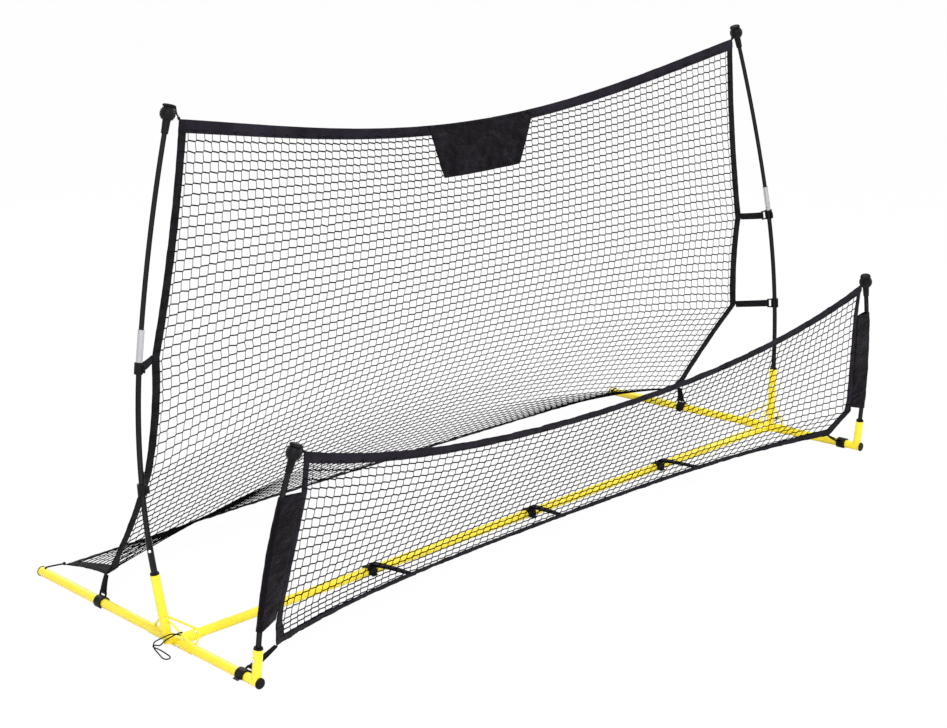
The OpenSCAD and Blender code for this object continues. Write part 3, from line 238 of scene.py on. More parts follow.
# --- mesh building ---
class Build:
    """Gathers points and faces, then makes one piece of them."""

    def __init__(self):
        self.points, self.faces, self.uvs, self.count = [], [], [], 0

    def add(self, points, faces, uvs=None):
        points = np.asarray(points, float).reshape(-1, 3)
        self.points.append(points)
        self.faces += [tuple(int(i) + self.count for i in f) for f in faces]
        self.uvs.append(np.zeros((len(points), 2)) if uvs is None else np.asarray(uvs, float).reshape(-1, 2))
        self.count += len(points)

    def shell(self, grid, thick, wave=0.0):
        """A closed sheet of cloth from a grid of points, thick all over or as the grid gives."""
        m, n = grid.shape[:2]
        nn = normals(grid)
        grid = grid + nn * (wave if np.isscalar(wave) else wave[..., None])
        half = (np.ones((m, n)) * thick / 2)[..., None]
        lengths = np.cumsum(np.r_[0, np.linalg.norm(np.diff(grid[m // 2], axis=0), axis=1)])
        widths = np.cumsum(np.r_[0, np.linalg.norm(np.diff(grid[:, n // 2], axis=0), axis=1)])
        uv = np.stack(np.meshgrid(lengths, widths), -1)
        i = np.arange(m * n).reshape(m, n)
        f = np.stack([i[:-1, :-1], i[1:, :-1], i[1:, 1:], i[:-1, 1:]], -1).reshape(-1, 4)
        edge = np.r_[i[0, :], i[1:, -1], i[-1, -2::-1], i[-2:0:-1, 0]]
        rim = np.stack([edge, np.roll(edge, -1), np.roll(edge, -1) + m * n, edge + m * n], -1)
        self.add(np.r_[(grid + nn * half).reshape(-1, 3), (grid - nn * half).reshape(-1, 3)],
                 np.r_[f, f[:, ::-1] + m * n, rim], np.r_[uv.reshape(-1, 2), uv.reshape(-1, 2)])

    def tube(self, path, radius, sides=8, closed=False):
        """A round tube along a path, with flat ends unless the path is a closed ring."""
        path = np.asarray(path, float)
        n = len(path)
        tangent = np.roll(path, -1, 0) - np.roll(path, 1, 0) if closed else np.gradient(path, axis=0)
        tangent /= np.linalg.norm(tangent, axis=1, keepdims=True)
        side = unit(np.cross(tangent[0], vec(0.3, 0.2, 1)))
        turns = 2 * math.pi * np.arange(sides) / sides
        rings = []
        for t, p in zip(tangent, path):
            side = unit(side - t * (side @ t))
            other = np.cross(t, side)
            rings.append(p + radius * (np.outer(np.cos(turns), side) + np.outer(np.sin(turns), other)))
        i = np.arange(n * sides).reshape(n, sides)
        j = np.roll(i, -1, 0) if closed else i[1:]
        i = i if closed else i[:-1]
        faces = [tuple(q) for q in np.stack([i, np.roll(i, -1, 1), np.roll(j, -1, 1), j], -1).reshape(-1, 4)]
        if not closed:
            faces += [tuple(range(sides))[::-1], tuple(range((n - 1) * sides, n * sides))]
        length = np.r_[0, np.cumsum(np.linalg.norm(np.diff(path, axis=0), axis=1))]
        uv = np.stack([np.repeat(length, sides), np.tile(turns * radius, n)], -1)
        self.add(np.array(rings), faces, uv)

    def strands(self, paths, up, radius):
        """Many four-sided strands at once. paths is strands x points x 3, and up the normals there."""
        t = np.gradient(paths, axis=1)
        t /= np.linalg.norm(t, axis=-1, keepdims=True)
        side = np.cross(up, t)
        side /= np.linalg.norm(side, axis=-1, keepdims=True)
        ring = np.stack([side, up, -side, -up], 2) * (radius * np.ones(paths.shape[:2]))[..., None, None]
        points = (paths[:, :, None] + ring).reshape(-1, 3)
        m, n = paths.shape[:2]
        i = np.arange(m * n * 4).reshape(m, n, 4)
        a, b = i[:, :-1], i[:, 1:]
        walls = np.stack([a, np.roll(a, -1, 2), np.roll(b, -1, 2), b], -1).reshape(-1, 4)
        self.add(points, np.r_[walls, i[:, 0, ::-1], i[:, -1]])

    def stitches(self, line, up, length=THREAD_LEN, pitch=THREAD_PITCH, size=THREAD_W):
        """A row of thread stitches that lie on a line of points, standing `up` from it."""
        d = np.r_[0, np.cumsum(np.linalg.norm(np.diff(line, axis=0), axis=1))]
        for s in np.arange(pitch / 2, d[-1] - length, pitch):
            a = np.array([np.interp(s, d, line[:, k]) for k in range(3)])
            b = np.array([np.interp(s + length, d, line[:, k]) for k in range(3)])
            n = unit(np.array([np.interp(s, d, up[:, k]) for k in range(3)]))
            w = size * unit(np.cross(b - a, n))
            m, h = (a + b) / 2, n * size * 1.2
            self.add([a - w * 0.4, a + w * 0.4, m - w, m + w, b - w * 0.4, b + w * 0.4, m - w * 0.5 + h,
                      m + w * 0.5 + h],
                     [(0, 2, 3, 1), (2, 4, 5, 3), (0, 1, 7, 6), (6, 7, 5, 4),
                      (0, 6, 2), (2, 6, 4), (1, 3, 7), (3, 5, 7)])

    def piece(self, name, material, slot, *nodes):
        """Makes the object, which rides the stand and takes the place of the CAD nodes named."""
        mesh = bpy.data.meshes.new(name)
        mesh.from_pydata(np.concatenate(self.points).tolist(), [], self.faces)
        layer = mesh.uv_layers.new(name="Cloth")
        uv = np.concatenate(self.uvs)
        loops = np.empty(len(mesh.loops), int)
        mesh.loops.foreach_get("vertex_index", loops)
        layer.data.foreach_set("uv", uv[loops].ravel())
        mesh.polygons.foreach_set("use_smooth", np.ones(len(mesh.polygons), bool))
        mesh.materials.append(material)
        mesh.validate()
        obj = bpy.data.objects.new(name, mesh)
        bpy.context.scene.collection.objects.link(obj)
        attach(obj, BODY)
        if nodes:
            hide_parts(*nodes)
        return obj


def creases(x, y, seed, size, length, folds=9):
    """Height of soft folds in cloth at the points x, y."""
    rng = np.random.default_rng(seed)
    out = np.zeros_like(x)
    for _ in range(folds):
        a, k = rng.uniform(0, math.pi), 2 * math.pi / (length * rng.uniform(0.6, 1.7))
        q = np.sin(k * (x * math.cos(a) + y * math.sin(a)) + rng.uniform(0, 6.3))
        out += np.sign(q) * np.abs(q) ** 1.4 * rng.uniform(0.4, 1)
    return size * out / math.sqrt(folds)


# --- materials ---
class Shader:
    """A node material, with short names for what most of them use."""

    def __init__(self, name, color, rough, metal=0.0, coat=0.0, sheen=0.0, spec=0.5):
        self.mat = bpy.data.materials.new(name)
        self.mat.use_nodes = True
        self.tree = self.mat.node_tree
        self.bsdf = self.tree.nodes["Principled BSDF"]
        self.set(self.bsdf, {"Base Color": (*color, 1), "Roughness": rough, "Metallic": metal,
                             "Coat Weight": coat, "Coat Roughness": 0.12, "Sheen Weight": sheen,
                             "Sheen Roughness": 0.5, "Specular IOR Level": spec})
        self.normal = None

    def set(self, node, values):
        for k, v in values.items():
            if isinstance(v, bpy.types.NodeSocket):
                self.tree.links.new(v, node.inputs[k])
            else:
                node.inputs[k].default_value = v

    def node(self, kind, values=None, **props):
        n = self.tree.nodes.new(kind)
        for k, v in props.items():
            setattr(n, k, v)
        self.set(n, values or {})
        return n

    def place(self, stretch=(1, 1, 1), uv=False):
        """Where a texture is read: along the cloth, or in the object's own space."""
        if uv:
            at = self.node("ShaderNodeUVMap", uv_map="Cloth").outputs[0]
        else:
            at = self.node("ShaderNodeTexCoord").outputs["Object"]
        return self.node("ShaderNodeMapping", {"Vector": at, "Scale": stretch}).outputs[0]

    def noise(self, scale, detail=3.0, stretch=(1, 1, 1), rough=0.55):
        return self.node("ShaderNodeTexNoise", {"Vector": self.place(stretch), "Scale": scale,
                                                "Detail": detail, "Roughness": rough}).outputs["Fac"]

    def wave(self, scale, axis="X", uv=False, warp=0.0):
        values = {"Vector": self.place(uv=uv), "Scale": scale, "Distortion": warp, "Detail": 1.0}
        return self.node("ShaderNodeTexWave", values, bands_direction=axis).outputs["Fac"]

    def math(self, op, a, b):
        n = self.node("ShaderNodeMath", operation=op)
        self.set(n, {0: a, 1: b})
        return n.outputs[0]

    def ramp(self, fac, low, high, a=0.35, b=0.65):
        return self.node("ShaderNodeMapRange", {"Value": fac, "From Min": a, "From Max": b, "To Min": low,
                                                "To Max": high}).outputs[0]

    def tint(self, fac, first, second, a=0.35, b=0.65):
        """Base colour that runs from the first to the second as fac goes from a to b."""
        mix = self.node("ShaderNodeMix", data_type="RGBA")
        mix.inputs[6].default_value, mix.inputs[7].default_value = (*first, 1), (*second, 1)
        self.tree.links.new(self.ramp(fac, 0.0, 1.0, a, b), mix.inputs[0])
        self.set(self.bsdf, {"Base Color": mix.outputs[2]})

    def rough(self, fac, low, high):
        self.set(self.bsdf, {"Roughness": self.ramp(fac, low, high)})

    def edge(self, socket, middle, rim, a=0.15, b=0.85):
        """Sets a socket to one value where the surface faces the viewer and to another at its outline."""
        facing = self.node("ShaderNodeLayerWeight", {"Blend": 0.5}).outputs["Facing"]
        self.set(self.bsdf, {socket: self.ramp(facing, middle, rim, a, b)})

    def bump(self, height, strength, distance):
        """Adds relief on top of what the surface already has."""
        values = {"Height": height, "Strength": strength, "Distance": distance}
        if self.normal is not None:
            values["Normal"] = self.normal
        self.normal = self.node("ShaderNodeBump", values).outputs[0]
        self.set(self.bsdf, {"Normal": self.normal})


def powder_coat():
    s = Shader("yellow_powder_coat", (1.0, 0.8, 0.02), 0.36, coat=0.25)
    s.tint(s.noise(9, 2), (1.0, 0.83, 0.03), (0.96, 0.765, 0.018))
    s.rough(s.noise(40, 4), 0.3, 0.46)
    s.bump(s.noise(600, 2), 0.04, 0.0002)
    return s.mat


def black_steel():
    s = Shader("black_powder_coat", (0.009, 0.009, 0.01), 0.34, spec=0.15)
    s.tint(s.noise(30, 3), (0.007, 0.0066, 0.008), (0.014, 0.0132, 0.0156))
    s.rough(s.noise(120, 3), 0.28, 0.42)
    s.bump(s.noise(1100, 2), 0.15, 0.0003)
    return s.mat


def fibreglass():
    s = Shader("black_glass_fibre_rod", (0.008, 0.008, 0.009), 0.14, spec=0.3)
    fibres = s.noise(1400, 3, (1, 1, 0.012))
    s.tint(fibres, (0.004, 0.004, 0.005), (0.01, 0.01, 0.012))
    s.rough(fibres, 0.1, 0.2)
    s.edge("Specular IOR Level", 0.22, 0.0, 0.1, 0.45)
    s.bump(fibres, 0.06, 0.0001)
    return s.mat


def moulded():
    s = Shader("moulded_black_plastic", (0.02, 0.02, 0.023), 0.4, spec=0.1)
    s.tint(s.noise(25, 2), (0.005, 0.0046, 0.0056), (0.01, 0.0094, 0.0112))
    s.rough(s.noise(60, 4), 0.36, 0.52)
    s.bump(s.noise(1700, 3), 0.25, 0.0003)
    return s.mat


def drawn_aluminium():
    s = Shader("drawn_aluminium", (0.83, 0.84, 0.86), 0.26, metal=1.0)
    lines = s.noise(900, 3, (1, 1, 0.02))
    s.tint(lines, (0.55, 0.56, 0.585), (0.6, 0.61, 0.635))
    s.rough(lines, 0.3, 0.36)
    s.bump(lines, 0.02, 0.0001)
    return s.mat


def plated():
    s = Shader("plated_spring_steel", (0.8, 0.8, 0.82), 0.22, metal=1.0)
    s.rough(s.noise(500, 4), 0.16, 0.34)
    s.tint(s.noise(300, 3), (0.72, 0.73, 0.75), (0.86, 0.86, 0.88))
    s.bump(s.noise(900, 2), 0.08, 0.0002)
    return s.mat


def twine():
    s = Shader("black_twine", (0.005, 0.0047, 0.0055), 0.85, spec=0.0)
    s.tint(s.noise(70, 2), (0.003, 0.0028, 0.0034), (0.008, 0.0075, 0.0088))
    s.bump(s.noise(1500, 3), 0.5, 0.0005)
    return s.mat


def woven():
    s = Shader("plain_woven_polyester", (0.01, 0.009, 0.012), 0.75, sheen=0.01, spec=0.05)
    weave = s.math("MULTIPLY", s.wave(350, "X", uv=True), s.wave(350, "Y", uv=True))
    s.tint(s.noise(18, 4), (0.009, 0.0072, 0.012), (0.018, 0.0145, 0.023))
    s.rough(s.noise(60, 3), 0.56, 0.76)
    s.bump(weave, 0.35, 0.0004)
    s.bump(s.noise(60, 4), 0.35, 0.003)
    return s.mat


def nylon():
    s = Shader("thin_coated_nylon", (0.005, 0.004, 0.006), 0.5, spec=0.08)
    folds = s.noise(11, 4, (1, 1, 2.2), 0.6)
    # the fold noise also lightens the base colour along the folds: painted crease highlights on top of the fold
    # relief bumped below
    s.tint(folds, (0.0026, 0.0015, 0.0034), (0.012, 0.009, 0.0146), 0.5, 0.74)
    s.rough(s.noise(40, 3), 0.4, 0.6)
    s.bump(folds, 0.8, 0.02)
    s.bump(s.wave(420, "X", uv=True), 0.1, 0.0002)
    return s.mat


def webbing():
    s = Shader("woven_webbing", (0.01, 0.009, 0.011), 0.7, sheen=0.01, spec=0.05)
    along_run = s.wave(210, "X", uv=True, warp=1.5)
    ribs = s.math("ADD", along_run, s.math("MULTIPLY", s.wave(420, "Y", uv=True), 0.5))
    s.tint(s.noise(50, 3), (0.005, 0.0046, 0.006), (0.012, 0.011, 0.014))
    s.bump(ribs, 0.5, 0.0007)
    s.bump(s.noise(90, 3), 0.25, 0.001)
    return s.mat


def braided():
    s = Shader("braided_cord", (0.01, 0.01, 0.011), 0.65, sheen=0.01, spec=0.06)
    plait = s.math("MAXIMUM", s.wave(260, "DIAGONAL", uv=True), s.wave(300, "X", uv=True, warp=2.0))
    s.tint(s.noise(80, 2), (0.007, 0.007, 0.008), (0.018, 0.0175, 0.019))
    s.bump(plait, 0.6, 0.0006)
    return s.mat


YELLOW, STEEL_BLACK, ROD, PLASTIC = powder_coat(), black_steel(), fibreglass(), moulded()
ALUMINIUM, PLATED, TWINE, WOVEN = drawn_aluminium(), plated(), twine(), woven()
NYLON, WEBBING, BRAID = nylon(), webbing(), braided()

for name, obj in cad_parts.items():
    if name.endswith("_button") or name == "button_springs":
        skin = PLATED
    elif name.endswith(("hub", "_rail", "crossbar")):
        skin = YELLOW
    elif name.endswith("pole_foot"):
        skin = STEEL_BLACK
    elif name.endswith("_pole"):
        skin = ROD
    elif name == "pole_ferrules":
        skin = ALUMINIUM
    else:
        skin = PLASTIC
    obj.data.materials.clear()
    obj.data.materials.append(skin)


# --- netting: knotless mesh whose strands share a short slanted stretch at each crossing ---
ROW_TWINE_R, COLUMN_TWINE_R = 0.0016, 0.00095
CROSSING_ACROSS, CROSSING_DOWN = 0.0014, 0.0016
MESH_SLACK = 0.03  # how far a crossing strays, as a share of the mesh
MESH_COLUMNS, MAIN_MESH_ROWS, FRONT_MESH_ROWS = 84, 58, 20
MAIN_SAG, SAG_DEPTH = 0.095, 0.3
TUCK = 0.25  # share of a hem's width that the netting reaches into it


def netting(name, surface, edge_u, low_v, high_v, columns, rows, seed, node, sag, thin=0.0):
    """sag is how far the middle of a row lies above the top hem's own curve, as a share of the net's
    depth, away from the hems. thin is how much thinner the twine, pulled flat, is at the low edge."""
    rng = np.random.default_rng(seed)
    row_v = np.linspace(low_v, high_v, rows + 1)
    u, v = np.meshgrid(np.linspace(-edge_u, edge_u, columns + 1), row_v)
    v = v - sag * (1 - u ** 2) * (1 - np.exp((low_v - v) / SAG_DEPTH)) * (high_v - v)
    inner = np.ones_like(u)
    inner[0] = inner[-1] = inner[:, 0] = inner[:, -1] = 0
    u = u + inner * rng.normal(0, MESH_SLACK, u.shape) * 2 * edge_u / columns
    v = v + inner * rng.normal(0, MESH_SLACK, v.shape) * (high_v - low_v) / rows
    crossings = surface(u, v)
    up = normals(crossings)
    across, down = np.gradient(crossings, axis=1), np.gradient(crossings, axis=0)
    across /= np.linalg.norm(across, axis=-1, keepdims=True)
    down /= np.linalg.norm(down, axis=-1, keepdims=True)
    slant = CROSSING_ACROSS * across - CROSSING_DOWN * down
    fade = 1 - thin * row_v ** 3
    first, second = crossings - slant, crossings + slant
    b = Build()
    row_strands = np.stack([first, second], 2).reshape(rows + 1, -1, 3)
    b.strands(row_strands, np.repeat(up, 2, 1), ROW_TWINE_R * fade[:, None])
    column_strands = np.stack([second, first], 1).reshape(2 * rows + 2, columns + 1, 3).transpose(1, 0, 2)
    column_up = np.repeat(up, 2, 0).transpose(1, 0, 2)
    b.strands(column_strands, column_up, COLUMN_TWINE_R * np.repeat(fade, 2)[None])
    return b.piece(name, TWINE, "netting", node)


TOP_V, REAR_V, SIDE_U = TOP_HEM / MAIN_DROP, REAR_HEM / MAIN_DROP, SIDE_HEM / MAIN_HALF
FRONT_HEM_V, FRONT_LOW_V = FRONT_HEM / FRONT_DROP, FRONT_LOW_HEM / FRONT_DROP
FRONT_SIDE_U = FRONT_SIDE_HEM / MAIN_HALF
main_net = netting("main_netting", main_surface, 1 - SIDE_U * TUCK, TOP_V * (1 - TUCK), 1 - REAR_V * TUCK,
                   MESH_COLUMNS, MAIN_MESH_ROWS, 3, "main_net", sag=MAIN_SAG, thin=0.35)
front_net = netting("front_netting", front_surface, 1 - FRONT_SIDE_U * TUCK, FRONT_HEM_V * (1 - TUCK),
                    1 - FRONT_LOW_V * TUCK, MESH_COLUMNS, FRONT_MESH_ROWS, 5, "front_net", sag=0.0)


# --- hems ---
ACROSS_STEPS, ALONG_STEPS, SIDE_STEPS = 13, 420, 320
SEAMS = (0.12, 0.88)  # places of the two seams across a hem


def hem(name, surface, spans_u, span_v, thick, seed, node, long_u, wave=0.0009, material=None, grow=None):
    """Folded strips of cloth sewn over a net's edge, one for each span of u, with a row of stitches at each
    seam. long_u says that a strip runs along u. grow gives its width along its length, as a multiple."""
    b = Build()
    steps = ALONG_STEPS if long_u else SIDE_STEPS
    over = np.linspace(0, 1, ACROSS_STEPS)
    cross = over[:, None] * np.ones(steps)
    low_v, high_v = span_v
    for k, (low_u, high_u) in enumerate(spans_u):
        if long_u:
            u, v = np.meshgrid(np.linspace(low_u, high_u, steps), low_v + (high_v - low_v) * over)
        else:
            u, v = np.meshgrid(low_u + (high_u - low_u) * over, np.linspace(low_v, high_v, steps))
        if grow and long_u:
            v = 1 - (1 - v) * grow(u)
        elif grow:
            u = np.sign(u) * (1 - (1 - np.abs(u)) * grow(v))
        grid = surface(u, v)
        if not long_u:
            grid = grid.transpose(1, 0, 2)
        length = np.r_[0, np.cumsum(np.linalg.norm(np.diff(grid[6], axis=0), axis=1))][None]
        length = length * np.ones((ACROSS_STEPS, 1))
        swell = 1 - 0.55 * sum(np.exp(-((cross - seam) / 0.06) ** 2) for seam in SEAMS)
        edges = np.where((cross < 0.01) | (cross > 0.99), 0.6, 1.0)
        ripple = (creases(length, cross * 0.03, seed + k, wave, 0.05)
                  + creases(length, cross * 0.03, seed + 9 + k, wave * 0.5, 0.017))
        b.shell(grid, thick * swell * edges, ripple)
        up = normals(grid)
        for seam in SEAMS:
            i = int(round(seam * (ACROSS_STEPS - 1)))
            for sign in (1, -1):
                line = grid[i] + up[i] * (ripple[i] + sign * thick * 0.5 * swell[i])[:, None]
                b.stitches(line, sign * up[i])
    return b.piece(name, material or WOVEN, "cloth", node)


WHOLE = [(-1, 1)]
top_hem = hem("main_top_hem", main_surface, WHOLE, (0, TOP_V), HEM_T, 11, "main_net_top_hem", True)
side_hems = hem("main_side_webbing", main_surface, [(-1, -1 + SIDE_U), (1 - SIDE_U, 1)],
                (TOP_V * 0.7, 1 - REAR_V * 0.5), HEM_T * 0.8, 21, "main_net_side_hems", False, wave=0.0005,
                material=WEBBING, grow=lambda v: 1 + np.interp(v * MAIN_ROWS, (8.6, 9.1, 11), (0, 0.8, 0)))
rear_hem = hem("main_rear_hem", main_surface, WHOLE, (1 - REAR_V, 1), HEM_T, 31, "main_net_rear_hem", True)
front_top_hem = hem("front_top_hem", front_surface, WHOLE, (0, FRONT_HEM_V), HEM_T, 41, "front_net_top_hem",
                    True)
front_low_hem = hem("front_low_hem", front_surface, WHOLE, (1 - FRONT_LOW_V, 1), HEM_T, 51,
                    "front_net_bottom_hem", True, wave=0.001, grow=lambda u: 1 + 0.8 * u**6)
front_sides = hem("front_side_hems", front_surface, [(-1, -1 + FRONT_SIDE_U), (1 - FRONT_SIDE_U, 1)],
                  (FRONT_HEM_V * 0.7, 1 - FRONT_LOW_V * 0.7), HEM_T * 0.8, 61, "front_net_side_hems", False,
                  wave=0.0006, grow=lambda v: 1 + 0.8 * np.clip((v - 0.72) / 0.16, 0, 1))

# --- banner: plain creased cloth sewn to the top hem, hanging in front of the net ---
BANNER_OFF = HEM_T / 2 + 0.0014  # how far it lies in front of the net's surface
BANNER_SEWN = 0.28  # share of its height that the hem holds flat


def banner():
    """Its outline narrows from BANNER_TOP to BANNER_LOW, both half widths."""
    rows, columns = 34, 100
    fall, along_u = np.meshgrid(np.linspace(0, 1, rows), np.linspace(-1, 1, columns), indexing="ij")
    half = BANNER_TOP + (BANNER_LOW - BANNER_TOP) * fall
    grid = main_surface(along_u * half / SIDE[0][0], BANNER_H / 1.12 * fall)
    loose = np.clip((fall - BANNER_SEWN) / 0.5, 0, 1)
    fold = sum(creases(along_u * half, fall * BANNER_H, seed, size, length)
               for seed, size, length in ((77, 0.0014, 0.03), (78, 0.0012, 0.08)))
    grid[..., 1] -= BANNER_OFF
    grid[..., 1] -= 0.0016 * loose
    b = Build()
    b.shell(grid, BANNER_T, np.clip(fold, -0.0018, 0.003) * (0.3 + 0.9 * loose))
    up = normals(grid)
    for i, j in ((slice(None), 2), (slice(None), -3), (2, slice(None)), (11, slice(None)), (-3, slice(None))):
        b.stitches(grid[i, j] + up[i, j] * 0.0008, up[i, j])
    return b.piece("banner", NYLON, "cloth", "net_banner")


banner_cloth = banner()


# --- pole pockets: sleeves of the front net's cloth round the two front poles ---
POCKET_RADIUS = FRONT_POLE_D / 2 + 0.0012
POCKET_LEAF = 0.0011  # half the space between the two leaves where they meet the net
POCKET_LIFT = 0.012  # how far the sewn edge rises at the bottom
LEAF_POINTS, WRAP_POINTS = 11, 23


def pocket(name, side):
    """Two leaves from the net's edge that meet in a wrap round the pole, section by section."""
    heights = np.linspace(POCKET_LOW, POCKET_HIGH, 90)
    sections = []
    for height, share in zip(heights, (heights - POCKET_LOW) / (POCKET_HIGH - POCKET_LOW)):
        centre = front_world(height)
        edge = (1 - share) * FRONT_SIDE[2] + share * FRONT_SIDE[1]
        run = vec(edge[0] - centre[0], edge[1] - centre[1], 0)
        reach, x = np.linalg.norm(run), unit(run)
        y = vec(-x[1], x[0], 0)
        wrap = [centre + POCKET_RADIUS * math.cos(a) * x - POCKET_RADIUS * math.sin(a) * y
                for a in np.linspace(math.radians(75), math.radians(285), WRAP_POINTS)]
        lift = vec(0, 0, POCKET_LIFT * (1 - share) ** 3)
        start, end = centre + reach * x - POCKET_LEAF * y + lift, centre + reach * x + POCKET_LEAF * y + lift
        steps = np.linspace(0, 1, LEAF_POINTS + 1)
        lead = [start + (wrap[0] - start) * t for t in steps[:-1]]
        tail = [wrap[-1] + (end - wrap[-1]) * t for t in steps[1:]]
        sections.append(lead + wrap + tail)
    grid = np.array(sections)
    turn = np.linspace(0, 1, grid.shape[1])
    free = np.clip(np.sin(np.abs(turn * 2 - 1) * math.pi), 0, 1)[None] * np.ones((len(heights), 1))
    rise = (heights - POCKET_LOW)[:, None] * np.ones((1, len(turn)))
    fold = creases(rise, turn[None] * 0.11 * np.ones_like(rise), 91, 0.0011, 0.05) * (0.3 + free)
    grid[..., 0] *= side
    b = Build()
    up = normals(grid)
    out = np.sign(((grid[:, 22] - grid[:, 0]) * up[:, 22]).sum(-1).mean())
    b.shell(grid, POCKET_T, out * np.clip(np.abs(fold), 0, 0.0024))
    return b.piece(name, NYLON, "cloth", "pole_pockets")


pockets = [pocket("left_pole_pocket", -1), pocket("right_pole_pocket", 1)]


# --- straps: one run of webbing from the net, round the clip's bar and back ---
def strap(b, bar, axis, sewn, side, taper=1.0, bow=0.0):
    """bar is the middle of the clip's bar, axis its direction, sewn the strap's seam on the net. taper is the
    width at the seam, as a share of the strap's width, and bow how far the run curves off straight."""
    run = sewn - bar
    x = unit(run - axis * (run @ axis))
    n = np.cross(axis, x)
    r = BAIL_BAR_D / 2 + SEAT_GAP + STRAP_T / 2
    t = np.linspace(0, 1, 26)[:, None]
    rise = np.sin(t * math.pi) * bow
    out = bar + r * n + t * (run + n * (STRAP_T * 0.55 - r)) + n * rise
    back = bar - r * n + t * (run - n * (STRAP_T * 0.55 - r)) + n * rise
    a = np.linspace(-math.pi / 2, -3 * math.pi / 2, 13)[1:-1, None]
    loop = bar + r * (np.cos(a) * x + np.sin(a) * n)
    path = np.r_[back[::-1], loop, out]
    w = STRAP_W * np.r_[1 - (1 - taper) * t[::-1], np.ones_like(loop[:, :1]), 1 - (1 - taper) * t]
    c = np.linspace(-0.5, 0.5, 9)
    grid = path[None] + c[:, None, None] * (w * axis)[None]
    half = np.where(np.abs(c) > 0.45, 0.5, 1.0)[:, None] * np.ones(len(path))
    grid[..., 0] *= side
    b.shell(grid, STRAP_T * half)
    flip = vec(side, 1, 1)
    for spot in (0.004 + r, 0.013 + r):
        p = bar + x * spot
        line = np.array([p - axis * STRAP_W * 0.4, p + axis * STRAP_W * 0.4])
        for sign in (1, -1):
            face = line + n * sign * (STRAP_T * 1.05 + r * (1 - min(1, spot / 0.03)))
            b.stitches(face * flip, np.array([sign * n * flip] * 2), 0.0026, 0.0036, 0.00035)


POLE_BAR = POLE_D / 2 + CLIP_FIT + POLE_CLIP_WALL + BAIL_WINDOW + BAIL_BAR_D / 2
RAIL_BAR = RAIL_D / 2 + CLIP_FIT + RAIL_CLIP_WALL + BAIL_WINDOW + BAIL_BAR_D / 2
RAIL_DIR = vec(-math.sin(TOE), math.cos(TOE), 0)


def rail_point(y):
    """Place on the right rail's axis, at the length y behind the crossbar."""
    return vec(HUB_X - y * math.sin(TOE), HUB_Y + y * math.cos(TOE), RAIL_Z)


def toward(at, along_dir, target):
    """Direction from a place on a tube to a target, square to the tube."""
    v = target - at
    return unit(v - along_dir * (v @ along_dir))


pole_straps, rear_straps, front_straps, bar_straps = Build(), Build(), Build(), Build()
for side in (-1, 1):
    for at, az, sewn in ((HIGH_CLIP, HIGH_AZ, HIGH_SEWN), (LOW_CLIP, LOW_AZ, LOW_SEWN)):
        bar = main_world(main_local(at)) + POLE_BAR * main_dir(at, vec(math.cos(az), math.sin(az), 0))
        strap(pole_straps, bar, main_dir(at, vec(0, 0, 1)), sewn, side, bow=0.0015)
    rear, front = rail_point(REAR_CLIP), rail_point(-(FRONT_REACH - FRONT_CLIP_INSET))
    for straps, at, sewn, taper, bow in ((rear_straps, rear, LOW_CORNER, 0.85, 0.001),
                                         (front_straps, front, FRONT_SIDE[3], 0.6, -0.001)):
        bar = at + RAIL_BAR * toward(at, RAIL_DIR, sewn)
        strap(straps, bar, RAIL_DIR, sewn, side, taper=taper, bow=bow)
for x, x_net in zip(BAR_CLIP_X, BAR_STRAP_X):
    at = vec(x, HUB_Y, RAIL_Z)
    bar = at + RAIL_BAR * vec(0, -math.cos(BAR_CLIP_RISE), math.sin(BAR_CLIP_RISE))
    sewn = front_surface(np.array([x_net / FRONT_SIDE[3][0]]), np.array([1.0]))[0]
    strap(bar_straps, bar, vec(1, 0, 0), sewn, 1, taper=0.8, bow=-0.002)
pole_straps.piece("pole_strap_webbing", WEBBING, "strap_webbing", "pole_straps")
rear_straps.piece("rear_strap_webbing", WEBBING, "strap_webbing", "rear_rail_straps")
front_straps.piece("front_strap_webbing", WEBBING, "strap_webbing", "front_rail_straps")
bar_straps.piece("crossbar_strap_webbing", WEBBING, "strap_webbing", "crossbar_straps")


# --- corner ties ---
def smooth(points, steps=6):
    """Points on a smooth curve through the given ones."""
    p = np.asarray(points, float)
    q = np.r_[[2 * p[0] - p[1]], p, [2 * p[-1] - p[-2]]]
    out = []
    for i in range(1, len(q) - 2):
        for t in np.arange(steps) / steps:
            out.append(0.5 * (2 * q[i] + (q[i + 1] - q[i - 1]) * t
                              + (2 * q[i - 1] - 5 * q[i] + 4 * q[i + 1] - q[i + 2]) * t * t
                              + (3 * q[i] - q[i - 1] - 3 * q[i + 1] + q[i + 2]) * t**3))
    return np.array(out + [p[-1]])


def ring(centre, axis, radius, count=40):
    """Points on a circle round an axis."""
    a = unit(np.cross(axis, vec(0, 1, 0.1)))
    b = np.cross(axis, a)
    t = 2 * math.pi * np.arange(count)[:, None] / count
    return centre + radius * (np.cos(t) * a + np.sin(t) * b)


